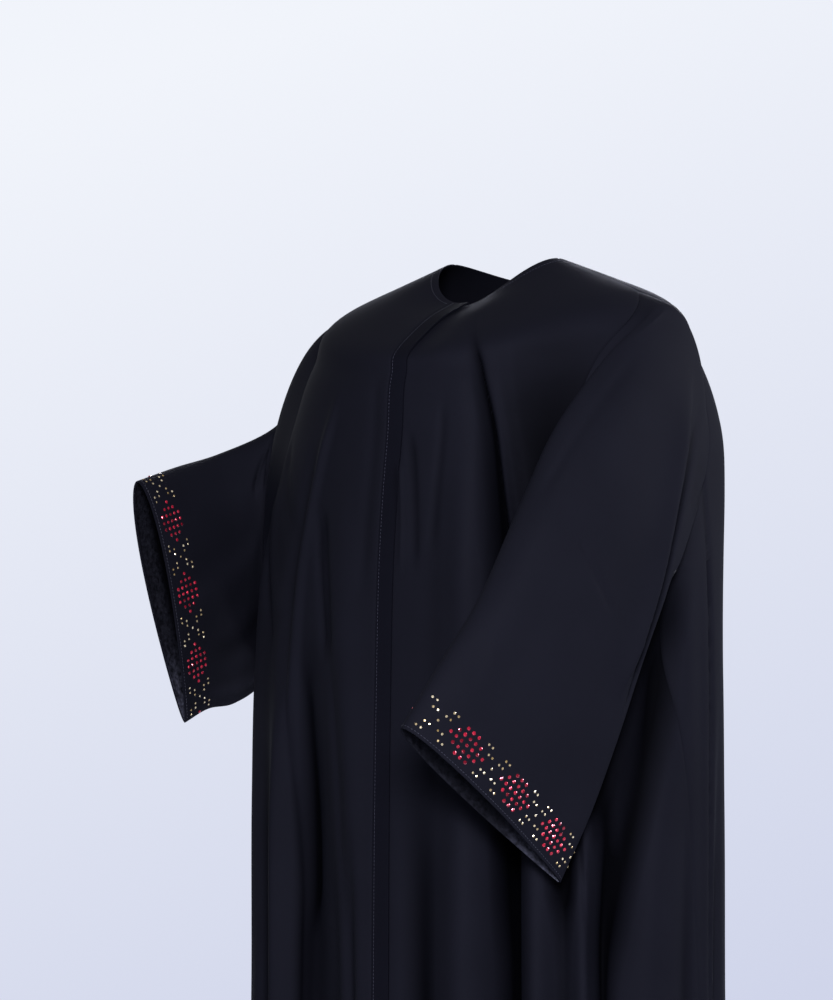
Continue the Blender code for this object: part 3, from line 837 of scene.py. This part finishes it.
CRISP_LEFT_CREASES = (
    # The long fold from the armhole to the hanging edge, and one thin crease over the forearm.
    (228.0, 0.12, 318.0, 0.64, 0.024, 0.008, 0.0110, 0.051),
    (234.0, 0.50, 284.0, 0.53, 0.004, 0.005, -0.0014, 0.000),
)
SOFT_RIGHT_CREASES = (
    # Crumples at the elbow, on the side that faces the front.
    (168.0, 0.38, 112.0, 0.46, 0.008, 0.008, -0.0055, 0.006),
    (172.0, 0.46, 118.0, 0.56, 0.007, 0.007, 0.0046, 0.006),
    (160.0, 0.52, 124.0, 0.62, 0.006, 0.006, -0.0036, 0.004),
    (150.0, 0.28, 128.0, 0.32, 0.008, 0.008, 0.0040, 0.004),
    (60.0, 0.30, 56.0, 0.86, 0.014, 0.014, -0.0036, 0.006),
    (28.0, 0.35, 30.0, 0.90, 0.011, 0.011, 0.0034, 0.004),
    (100.0, 0.55, 84.0, 0.94, 0.015, 0.015, 0.0026, 0.006),
    # The outer side.
    (206.0, 0.26, 260.0, 0.46, 0.012, 0.012, -0.0044, 0.010),
    (216.0, 0.40, 262.0, 0.60, 0.010, 0.010, 0.0036, 0.008),
    (300.0, 0.20, 304.0, 0.80, 0.013, 0.013, -0.0040, 0.006),
    (330.0, 0.30, 328.0, 0.86, 0.010, 0.010, 0.0034, 0.004),
)
CRISP_RIGHT_CREASES = (
    (176.0, 0.42, 140.0, 0.52, 0.004, 0.008, -0.0050, 0.002),
    (150.0, 0.20, 120.0, 0.34, 0.008, 0.004, -0.0040, 0.002),
)
print("creases on the sleeves:", len(SOFT_LEFT_CREASES) + len(CRISP_LEFT_CREASES), "left,",
      len(SOFT_RIGHT_CREASES) + len(CRISP_RIGHT_CREASES), "right")

# %% Rings of the sleeves
def armhole_ring(side, share):
    """The armhole's outline at shares of the way round, from the underarm up the front edge."""
    up = np.where(share <= 0.5, 2.0 * share, 2.0 - 2.0 * share)
    height = UNDERARM_HEIGHT + (SHOULDER_TIP_HEIGHT - UNDERARM_HEIGHT) * up
    turn = np.where(share <= 0.5, -armhole_turn(height, ARMHOLE_FRONT_TURN),
                    armhole_turn(height, ARMHOLE_BACK_TURN))
    return body_points(seam_angle(height, side) + side * turn, height)


def station_ring(station, side, share):
    """A sleeve ring: an upright lens that is full round the arm and thin at the hanging edge."""
    top = np.array(station[0:3])
    low = np.array(station[3:6])
    swell_top, swell_low, facing = station[6:9]
    outward = np.array((side * math.cos(math.radians(facing)), math.sin(math.radians(facing)), 0.0))
    turn = 2.0 * math.pi * share
    rise = 0.5 - 0.5 * np.cos(turn)
    swell = swell_low + (swell_top - swell_low) * rise
    return low + (top - low) * rise[:, None] - outward * (swell * np.sin(turn))[:, None]

# %% Grids of the sleeves
# The middle girth and length turn the creases' degrees and shares into metres.
ROUND_COLUMNS = 208
SLEEVE_ROWS = 160
SLEEVE_GIRTH = 0.64
SLEEVE_LENGTH = 0.62


def sleeve_grid(stations, side, soft, crisp):
    """Outer points and normals of a sleeve, rows from armhole to cuff, columns round the arm."""
    outward = -1.0 if side > 0 else 1.0
    share = np.linspace(0.0, 1.0, ROUND_COLUMNS + 1)
    rings = np.array([armhole_ring(side, share)] + [station_ring(s, side, share) for s in stations])
    rings[:, -1] = rings[:, 0]
    places = distances(rings).mean(axis=1)
    places /= places[-1]
    along = np.linspace(0.0, 1.0, SLEEVE_ROWS + 1)
    points = smooth_curve(places, rings.reshape(len(rings), -1), along).reshape(-1, ROUND_COLUMNS + 1, 3)
    normals = sheet_normals(points, True) * outward
    across, down = np.meshgrid(share * SLEEVE_GIRTH, along * SLEEVE_LENGTH)
    for table, power in ((soft, SOFT_POWER), (crisp, CRISP_SLEEVE_POWER)):
        rows = [(a / 360.0 * SLEEVE_GIRTH, s * SLEEVE_LENGTH, b / 360.0 * SLEEVE_GIRTH, e * SLEEVE_LENGTH,
                 *sizes) for a, s, b, e, *sizes in table]
        points = points + normals * crease_height(rows, across, down, power)[:, :, None]
    points[:, -1] = points[:, 0]
    normals = sheet_normals(points, True) * outward
    return roll_edges(points, normals, ("bottom",)), normals


GRIDS["sleeve_left"] = sleeve_grid(SLEEVE_LEFT_STATIONS, 1, SOFT_LEFT_CREASES, CRISP_LEFT_CREASES)
GRIDS["sleeve_right"] = sleeve_grid(SLEEVE_RIGHT_STATIONS, -1, SOFT_RIGHT_CREASES, CRISP_RIGHT_CREASES)
for node in ("sleeve_left", "sleeve_right"):
    girth = distances(GRIDS[node][0], axis=1)[:, -1]
    run = distances(GRIDS[node][0])[-1]
    print(node, "girth at armhole, middle, cuff:", girth[[0, SLEEVE_ROWS // 2, -1]].round(3),
          "length over and under the arm:", run[ROUND_COLUMNS // 2].round(3), run[0].round(3))

# %% Sleeves
# Each sleeve's size laid flat, all round, and its area.
SLEEVE_CUTS = {"sleeve_left": ((0.80, 0.68), 0.29), "sleeve_right": ((0.79, 0.52), 0.27)}
# How wide the cuff's fold and the thinned strip are, over what length the strip begins, and by what
# share it is thinner.
CUFF_FOLD = 0.006
SHARP_WIDTH = 0.03
SHARP_FADE = 0.02
SHARP_THINNING = 0.8


def sleeve_thickness(points):
    """Double at the cuff's folded edge. Thin along the sharp hanging edge, where a wall of full
    thickness would cross itself."""
    up = from_edge(points)
    doubled = CLOTH * (1.0 + ease((CUFF_FOLD - up) / (0.5 * CUFF_FOLD)))
    sharp = ease((SHARP_WIDTH - from_side(points)) / (0.5 * SHARP_WIDTH))
    return doubled * (1.0 - SHARP_THINNING * sharp * ease((up - SHARP_WIDTH) / SHARP_FADE))


sleeves = []
for node, (flat, area) in SLEEVE_CUTS.items():
    thickness = sleeve_thickness(GRIDS[node][0])
    piece = cloth("cloth_" + node, *GRIDS[node], (CREPE_FACE, CUFF_BACK), thickness, closed=True)
    sleeves.append(dress(piece, node))

# %% [markdown]
# ## Shade between the sleeves and the body
# Where a sleeve hangs a few centimetres from the body, little light gets in between them. The limp
# cloth of the real garment lies closer there than a clear, rigid form can. Weaker lamps would darken the
# open cloth too, so the shade there is painted: a place that faces another cloth nearby is counted as a
# deeper hollow in fold_depth, which darkens its base colour. Next to the armholes, where sleeve and body
# are sewn together, no shade is painted.

# %% Shade from close cloth
# How near the other cloth has to be, and how much painted shade it adds to fold_depth. A place that
# faces sideways still gets some of it, and none is added in the top part, next to the armholes.
SHADE_REACH = 0.16
SHADE_DEPTH = 1.5
SHADE_POWER = 1.5
SIDEWAYS_SHADE = 0.3
SHADED_SHARE = 0.85
ARMHOLE_FADE = 0.10
TREE_STEP = 3


def shade_between(pieces, near_cloths):
    """Paints shade: adds to the pieces' fold_depth, which darkens their base colour, where they face other
    cloth nearby, below the armholes.
    """
    near = np.concatenate([points[::TREE_STEP, ::TREE_STEP].reshape(-1, 3) for points in near_cloths])
    tree = KDTree(len(near))
    for index, point in enumerate(near):
        tree.insert(point, index)
    tree.balance()
    for piece in pieces:
        count = len(piece.data.vertices)
        places, normals, depth, edge = (np.empty(count * size) for size in (3, 3, 1, 1))
        piece.data.vertices.foreach_get("co", places)
        piece.data.vertices.foreach_get("normal", normals)
        layer = piece.data.attributes["fold_depth"].data
        layer.foreach_get("value", depth)
        piece.data.attributes["top_edge"].data.foreach_get("value", edge)
        places, normals = places.reshape(-1, 3), normals.reshape(-1, 3)
        found = [tree.find(place) for place in places]
        towards = np.array([hit[0][:] for hit in found]) - places
        distance = np.array([hit[2] for hit in found])
        facing = (towards * normals).sum(axis=1) / np.maximum(distance, 1e-6)
        close = np.clip(1.0 - distance / SHADE_REACH, 0.0, 1.0) ** SHADE_POWER
        free = ease((SHADED_SHARE * edge.max() - edge) / ARMHOLE_FADE)
        shade = free * close * np.clip(SIDEWAYS_SHADE + facing, 0.0, 1.0)
        layer.foreach_set("value", depth + SHADE_DEPTH * shade)
        print(piece.name, "shaded share:", (shade > 0.05).mean().round(2))


lower_sleeves = [GRIDS[node][0][SLEEVE_ROWS // 3:] for node in SLEEVE_CUTS]
shade_between(panels, lower_sleeves)
shade_between(sleeves, [GRIDS[node][0] for node in PANEL_CUTS])

# %% [markdown]
# ## Small things in great numbers
# Stones and stitches are copies of one small shape. Some 1,800 objects of their own would be slow. So
# the shape is made once with mesh operators, its points are turned, scaled and moved to every place at
# once with arrays, and all the copies become one mesh. Each copy stands on the cloth: its own z axis is
# the cloth's normal, and its x axis runs along the seam or the cuff.

# %% Copies of a small shape
def shape_points(mesh):
    """The points and the faces of a finished small shape."""
    mesh.verts.ensure_lookup_table()
    points = np.array([vertex.co[:] for vertex in mesh.verts])
    faces = [[vertex.index for vertex in face.verts] for face in mesh.faces]
    mesh.free()
    return points, faces


def unit(vectors):
    """Each row at length one."""
    return vectors / np.linalg.norm(vectors, axis=-1, keepdims=True)


def scatter(name, shape, places, along, normals, sizes, tones, material):
    """One mesh of copies of a shape. tones is one value for each copy, for its colour."""
    template, faces = shape
    along = unit(along - normals * (along * normals).sum(axis=1, keepdims=True))
    frames = np.stack((along, np.cross(normals, along), normals), axis=1)
    points = np.einsum("pk,ckj->cpj", template, frames) * sizes[:, None, None] + places[:, None, :]
    count = len(template)
    data = bpy.data.meshes.new(name)
    data.from_pydata(points.reshape(-1, 3).tolist(), [],
                     [[i + copy * count for i in face] for copy in range(len(places)) for face in faces])
    layer = data.attributes.new("tone", "FLOAT", "POINT")
    layer.data.foreach_set("value", np.repeat(tones, count))
    data.shade_flat()
    data.materials.append(material)
    piece = bpy.data.objects.new(name, data)
    bpy.context.scene.collection.objects.link(piece)
    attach(piece, "root")
    print(name, "copies:", len(places), "faces:", len(data.polygons))
    return piece

# %% [markdown]
# ## Stitches
# The placket band is topstitched 3 mm from its seam, and the hem, the neck and the cuffs are turned
# under and stitched. A machine stitch is about 3 mm of twisted thread that dips into the cloth at both
# ends. A bump in the material could hint at it, but a slim spindle of its own catches the light as
# thread does. Polyester thread is smoother than crepe, which is what makes the line of stitches visible
# on black.

# %% Thread and stitch
STITCH_LENGTH = 0.0028
STITCH_THICKNESS = 0.00055

THREAD, thread_shader = new_material("black_polyester_thread")
thread_shader.inputs["Base Color"].default_value = linear("#3c3c46")
thread_shader.inputs["Roughness"].default_value = 0.45
thread_shader.inputs["Specular IOR Level"].default_value = 0.35
print("a stitch:", STITCH_LENGTH * 1000, "mm long,", STITCH_THICKNESS * 1000, "mm thick")


def spindle():
    """A stitch along x, thick in the middle and pointed at both ends."""
    mesh = bmesh.new()
    bmesh.ops.create_cone(mesh, segments=5, radius1=0.5, radius2=0.12, depth=0.5, cap_ends=True,
                          matrix=Matrix.Translation((0.0, 0.0, 0.25)))
    bmesh.ops.mirror(mesh, geom=mesh.verts[:] + mesh.edges[:] + mesh.faces[:], axis="Z", merge_dist=1e-4)
    bmesh.ops.rotate(mesh, verts=mesh.verts, matrix=Matrix.Rotation(math.radians(90.0), 3, "Y"))
    bmesh.ops.scale(mesh, verts=mesh.verts, vec=(STITCH_LENGTH, STITCH_THICKNESS, STITCH_THICKNESS))
    return shape_points(mesh)

# %% Stitch lines
# A stitch's middle lies above the cloth by a share of its thickness. Rows are counted from the last.
STITCH_PITCH = 0.0042
STITCH_RISE = 0.15
SIDE_STEP = 0.001
TOPSTITCH_X = BAND_SEAM_X + 0.003
HEM_TURN = 0.018
NECK_STITCH_ROW = -3
CUFF_STITCH_ROW = -2


def read_along(distance, values, where):
    """A line's points or normals, read at distances along it."""
    return np.stack([np.interp(where, distance, values[:, axis]) for axis in range(3)], axis=1)


def stitch_line(points, normals):
    """Even places along a line on the cloth, with the line's direction and the cloth's normals."""
    distance = distances(points)
    at = np.arange(STITCH_PITCH, distance[-1] - STITCH_PITCH, STITCH_PITCH)
    ahead = read_along(distance, points, at + 0.5 * STITCH_LENGTH)
    behind = read_along(distance, points, at - 0.5 * STITCH_LENGTH)
    return read_along(distance, points, at), ahead - behind, unit(read_along(distance, normals, at))


def grid_row(name, height_above):
    """A line across a panel, a distance up from its lower edge."""
    points, normals = GRIDS[name]
    length = distances(points[:, 0])
    row = int(np.searchsorted(length, height_above))
    share = (height_above - length[row - 1]) / (length[row] - length[row - 1])
    return (points[row - 1] + (points[row] - points[row - 1]) * share,
            normals[row - 1] + (normals[row] - normals[row - 1]) * share)


def topstitch_line():
    """The line beside the placket's seam, down the whole front."""
    angle = angle_at_x(TOPSTITCH_X, HEIGHTS)
    beside = angle_at_x(TOPSTITCH_X + SIDE_STEP, HEIGHTS)
    points = body_points(angle, HEIGHTS)
    return points, unit(np.cross(body_points(beside, HEIGHTS) - points, np.gradient(points, axis=0)))


stitch_lines = [stitch_line(*topstitch_line())]
for node in PANEL_CUTS:
    points, normals = GRIDS[node]
    stitch_lines.append(stitch_line(*grid_row(node, HEM_TURN)))
    stitch_lines.append(stitch_line(points[NECK_STITCH_ROW], normals[NECK_STITCH_ROW]))
for node in SLEEVE_CUTS:
    points, normals = GRIDS[node]
    stitch_lines.append(stitch_line(points[CUFF_STITCH_ROW], normals[CUFF_STITCH_ROW]))
places, headings, facing = (np.concatenate([line[i] for line in stitch_lines]) for i in range(3))
scatter("stitches", spindle(), places + facing * STITCH_RISE * STITCH_THICKNESS, headings, facing,
        np.ones(len(places)), np.zeros(len(places)), THREAD)

# %% [markdown]
# ## Stones round the cuffs
# The cuffs carry flat-backed glass stones that are pressed on with heat. Seven red motifs go round each
# cuff: five rows of 3, 5, 7, 5 and 3 stones on a grid of 8.3 by 7.7 mm. Between two of them a cross of
# smaller gold stones runs out in pairs. A picture on the cloth would look flat from near, so each stone
# is a shape. The band is laid out flat, as along the cuff and up from its edge, in millimetres, and then
# wrapped round the sleeve's last rows.

# %% The band, laid flat
# The band's middle above the cuff's edge, the steps of the red grid, and the gold pairs, all in mm.
BAND_MIDDLE = 28.0
RED_GRID = (8.3, 7.7)
RED_ROWS = (3, 5, 7, 5, 3)
GOLD_PAIRS = ((9.0, 9.0), (15.0, 17.6))
GOLD_PAIR_GAP = 6.2


def red_motif():
    """Places of the red stones round the motif's middle, along and across the band."""
    return [((i - (count - 1) / 2.0) * RED_GRID[0], (row - len(RED_ROWS) // 2) * RED_GRID[1])
            for row, count in enumerate(RED_ROWS) for i in range(count)]


def gold_cross():
    """Places of the gold stones round the cross's middle."""
    places = [(0.0, 0.0)]
    for along, across in GOLD_PAIRS:
        for side in (-1.0, 1.0):
            for end in (-1.0, 1.0):
                places += [(side * along + half * GOLD_PAIR_GAP, end * across) for half in (-0.5, 0.5)]
    return places


def round_cuff(motif, middles, girth):
    """A motif at each of its places round a cuff, in metres: along the edge and up from it."""
    flat = np.array(motif)
    flat = np.concatenate([flat + (middle, BAND_MIDDLE) for middle in middles]) / 1000.0
    return flat[:, 0] % girth, flat[:, 1]


print("stones in a red motif:", len(red_motif()), "in a gold cross:", len(gold_cross()))

# %% The band, wrapped round the cuff
def on_cuff(points, normals, along, up):
    """The places on a sleeve at distances along its cuff edge and up from it."""
    edge = distances(points[-1])
    column = np.interp(along, edge, np.arange(len(edge)))
    left = np.minimum(column.astype(int), len(edge) - 2)
    across = (column - left)[:, None, None]
    upwards = points[::-1].transpose(1, 0, 2)
    lines = upwards[left] * (1.0 - across) + upwards[left + 1] * across
    facing = normals[::-1].transpose(1, 0, 2)[left]
    row = np.array([np.interp(height, far, np.arange(len(far)))
                    for height, far in zip(up, distances(lines, axis=1))])
    below = row.astype(int)
    pick = np.arange(len(lines))
    share = (row - below)[:, None]
    places = lines[pick, below] * (1.0 - share) + lines[pick, below + 1] * share
    heading = points[-1][left + 1] - points[-1][left]
    return places, heading, unit(facing[pick, below])

# %% Places of the motifs
# Where the middles of the red motifs and of the gold crosses lie: millimetres round each cuff from its
# lowest point. The left cuff's band begins and ends at the top of the sleeve with a wider gap.
CUFF_BANDS = {
    "sleeve_left": ((35, 107, 179, 251, 362, 445, 527), (71, 143, 215, 318, 403, 487, 568)),
    "sleeve_right": ((73, 167, 261, 355, 448, 542, 636), (27, 120, 214, 308, 401, 495, 589)),
}
print("motifs round the cuffs:", {node: (len(red), len(gold)) for node, (red, gold) in CUFF_BANDS.items()})

# %% [markdown]
# ## Glass with a mirror back
# A flat-backed stone is clear coloured glass over a mirror, so its colour is deep where it faces away
# and almost white on the facet that meets a lamp. Real glass over a real mirror would take long to
# render at 4 mm. A half metallic base colour under a smooth, hard coat looks the same. No two stones
# lie quite flat, so each is tilted a few degrees. Each also gets its own base colour, picked at random
# between a deeper and a lighter tone: a painted glint, for stones that catch the lamp more than others.

# %% Stone glass and stone shape
# Shares of the stone's radius.
GIRDLE = 0.2
TABLE_INSET = 0.44
CROWN_RISE = 0.34


def stone_material(name, dark, glint_bright, roughness):
    """Faceted glass between two tones."""
    material, shader = new_material(name)
    # Painted glint: a random tone for each stone mixes its base colour from the deeper tone to the lighter
    # one.
    tone = add_node(material, "ShaderNodeAttribute", attribute_name="tone").outputs["Fac"]
    mix = add_node(material, "ShaderNodeMix", {"Factor": tone, "A": linear(dark), "B": linear(glint_bright)},
                   data_type="RGBA")
    feed(material, mix.outputs["Result"], shader.inputs["Base Color"])
    shader.inputs["Roughness"].default_value = roughness
    shader.inputs["Metallic"].default_value = 0.5
    shader.inputs["Coat Weight"].default_value = 0.8
    shader.inputs["Coat Roughness"].default_value = 0.08
    return material


def cut_stone():
    """A flat-backed stone of radius one: a thin girdle, eight sloping facets and a flat table."""
    mesh = bmesh.new()
    bmesh.ops.create_cone(mesh, segments=8, radius1=1.0, radius2=1.0, depth=GIRDLE, cap_ends=True)
    table = max(mesh.faces, key=lambda face: face.calc_center_median().z)
    bmesh.ops.inset_region(mesh, faces=[table], thickness=TABLE_INSET, depth=CROWN_RISE)
    bmesh.ops.recalc_face_normals(mesh, faces=mesh.faces)
    return shape_points(mesh)

# %% Stones
RED_RADIUS = 0.00215
GOLD_RADIUS = 0.00145
# How much the stones differ in their tilt, their turn and their size.
STONE_TILT = 0.10
STONE_TURN = 0.5
STONE_SPREAD = 0.06

# The lighter tone of each glass stands for a stone that catches the lamp: painted glint.
RED_GLASS = stone_material("crimson_flat_back_glass", "#7c0a1e", "#d4263f", 0.22)
GOLD_GLASS = stone_material("gold_flat_back_glass", "#a5884f", "#f0dfb4", 0.18)
stone_shape = cut_stone()
random = np.random.default_rng(7)
for node, (red_middles, gold_middles) in CUFF_BANDS.items():
    points, normals = GRIDS[node]
    girth = distances(points[-1])[-1]
    for colour, motif, middles, radius, glass in (
            ("red", red_motif(), red_middles, RED_RADIUS, RED_GLASS),
            ("gold", gold_cross(), gold_middles, GOLD_RADIUS, GOLD_GLASS)):
        along, up = round_cuff(motif, middles, girth)
        places, heading, facing = on_cuff(points, normals, along, up)
        facing = unit(facing + random.normal(0.0, STONE_TILT, facing.shape))
        heading = unit(heading) + random.normal(0.0, STONE_TURN, heading.shape)
        sizes = radius * random.uniform(1.0 - STONE_SPREAD, 1.0 + STONE_SPREAD, len(places))
        scatter(f"{colour}_stones_{node}", stone_shape, places, heading, facing, sizes,
                random.uniform(0.0, 1.0, len(places)), glass)

# %% [markdown]
# ## Camera and studio
# The camera stands level, 3.6 m away and 38 degrees to the wearer's left, with a long lens, so that
# the near and far cuffs keep the sizes they have in the photograph. The floor is plain pale paint. The
# backdrop is a pale cold white that darkens slightly downwards and to the right: a wall would do, but a
# world colour lights the cloth evenly and is never in the way. One soft lamp stands close to the camera,
# so the sleeves look lighter than the folds behind them. A second lamp far to the right draws the light
# line down the right rim, and a third one lights the back, which other views show.

# %% Camera
# The view is 1.22 m high where the garment stands.
CAMERA_TURN = math.radians(38.0)
CAMERA_DISTANCE = 3.6
CAMERA_SIDEWAYS = -0.12
CAMERA_HEIGHT = -0.29
VIEW_HEIGHT = 1.22
SENSOR = 36.0

to_right = Vector((math.cos(CAMERA_TURN), math.sin(CAMERA_TURN), 0.0))
to_camera = Vector((math.sin(CAMERA_TURN), -math.cos(CAMERA_TURN), 0.0))
camera_data = bpy.data.cameras.new("camera")
camera_data.sensor_fit = "VERTICAL"
camera_data.sensor_height = SENSOR
camera_data.lens = SENSOR * CAMERA_DISTANCE / VIEW_HEIGHT
camera = bpy.data.objects.new("camera", camera_data)
camera.location = to_right * CAMERA_SIDEWAYS + to_camera * CAMERA_DISTANCE + Vector((0, 0, CAMERA_HEIGHT))
camera.rotation_euler = (math.radians(90.0), 0.0, CAMERA_TURN)
bpy.context.scene.collection.objects.link(camera)
bpy.context.scene.camera = camera
print("lens:", round(camera_data.lens, 1), "mm")

# %% Floor
FLOOR_HEIGHT = HEM_HEIGHT - 0.05
FLOOR_RADIUS = 2.6


def make_floor():
    """A plain pale floor, a round disc under the garment."""
    mesh = bmesh.new()
    bmesh.ops.create_circle(mesh, cap_ends=True, segments=96, radius=FLOOR_RADIUS,
                            matrix=Matrix.Translation((0.0, 0.0, FLOOR_HEIGHT)))
    data = bpy.data.meshes.new("floor")
    mesh.to_mesh(data)
    mesh.free()
    floor = bpy.data.objects.new("floor", data)
    bpy.context.scene.collection.objects.link(floor)
    material, shader = new_material("matt_studio_paint")
    shader.inputs["Base Color"].default_value = linear("#b9bdc8")
    shader.inputs["Roughness"].default_value = 0.85
    data.materials.append(material)


make_floor()
print("floor at", FLOOR_HEIGHT, "m")

# %% Backdrop
# How far the backdrop's shading leans, the heights between which it runs, and where the room begins, as
# lengths along a view direction of length one.
BACKDROP_TILT = 0.3
BACKDROP_RUN = (-0.2, 0.17)
ROOM_RUN = (-0.85, -0.2)


def make_backdrop(low, high, room):
    """The pale backdrop, darker towards the floor, and the dim room on the camera's side."""
    world = bpy.data.worlds.new("studio")
    world.use_nodes = True
    bpy.context.scene.world = world
    direction = add_node(world, "ShaderNodeTexCoord").outputs["Generated"]
    upward = Vector((0.0, 0.0, 1.0)) - to_right * BACKDROP_TILT
    height = add_node(world, "ShaderNodeVectorMath", {0: direction, 1: tuple(upward)},
                      operation="DOT_PRODUCT")
    rise = add_node(world, "ShaderNodeMapRange", {"Value": height.outputs["Value"],
                                                  "From Min": BACKDROP_RUN[0],
                                                  "From Max": BACKDROP_RUN[1]})
    sweep = add_node(world, "ShaderNodeMix", {"Factor": rise.outputs["Result"], "A": linear(low),
                                              "B": linear(high)}, data_type="RGBA")
    facing = add_node(world, "ShaderNodeVectorMath", {0: direction, 1: tuple(to_camera)},
                      operation="DOT_PRODUCT")
    near = add_node(world, "ShaderNodeMapRange", {"Value": facing.outputs["Value"],
                                                  "From Min": ROOM_RUN[0], "From Max": ROOM_RUN[1]})
    mix = add_node(world, "ShaderNodeMix", {"Factor": near.outputs["Result"], "A": sweep.outputs["Result"],
                                            "B": linear(room)}, data_type="RGBA")
    feed(world, mix.outputs["Result"], world.node_tree.nodes["Background"].inputs["Color"])


make_backdrop("#d0d5ea", "#f1f4fb", "#4c4e58")
print("backdrop:", bpy.context.scene.world.name)

# %% Lamps
# Columns: name, sideways, distance, height, size, power. Metres and watts, as seen from the camera.
LAMPS = (
    ("soft_lamp_front", -0.1, 3.4, 0.5, 0.8, 185.0),
    ("soft_lamp_rim", 2.6, -0.6, 0.6, 1.0, 75.0),
    ("soft_lamp_back", 0.3, -3.0, 0.8, 1.2, 120.0),
)
LAMP_TINT = "#eaedff"
LAMP_AIM = Vector((0.0, 0.0, -0.55))


def lamp(name, sideways, distance, height, size, power):
    """A square soft lamp aimed at the garment's middle, placed as seen from the camera."""
    data = bpy.data.lights.new(name, "AREA")
    data.shape = "SQUARE"
    data.size = size
    data.energy = power
    data.color = linear(LAMP_TINT)[:3]
    light = bpy.data.objects.new(name, data)
    light.location = to_right * sideways + to_camera * distance + Vector((0.0, 0.0, height))
    light.rotation_euler = (LAMP_AIM - light.location).to_track_quat("-Z", "Y").to_euler()
    bpy.context.scene.collection.objects.link(light)


for row in LAMPS:
    lamp(*row)
print("lamps:", len(LAMPS))

# The standard view keeps the picked colours as they are.
bpy.context.scene.view_settings.view_transform = "Standard"
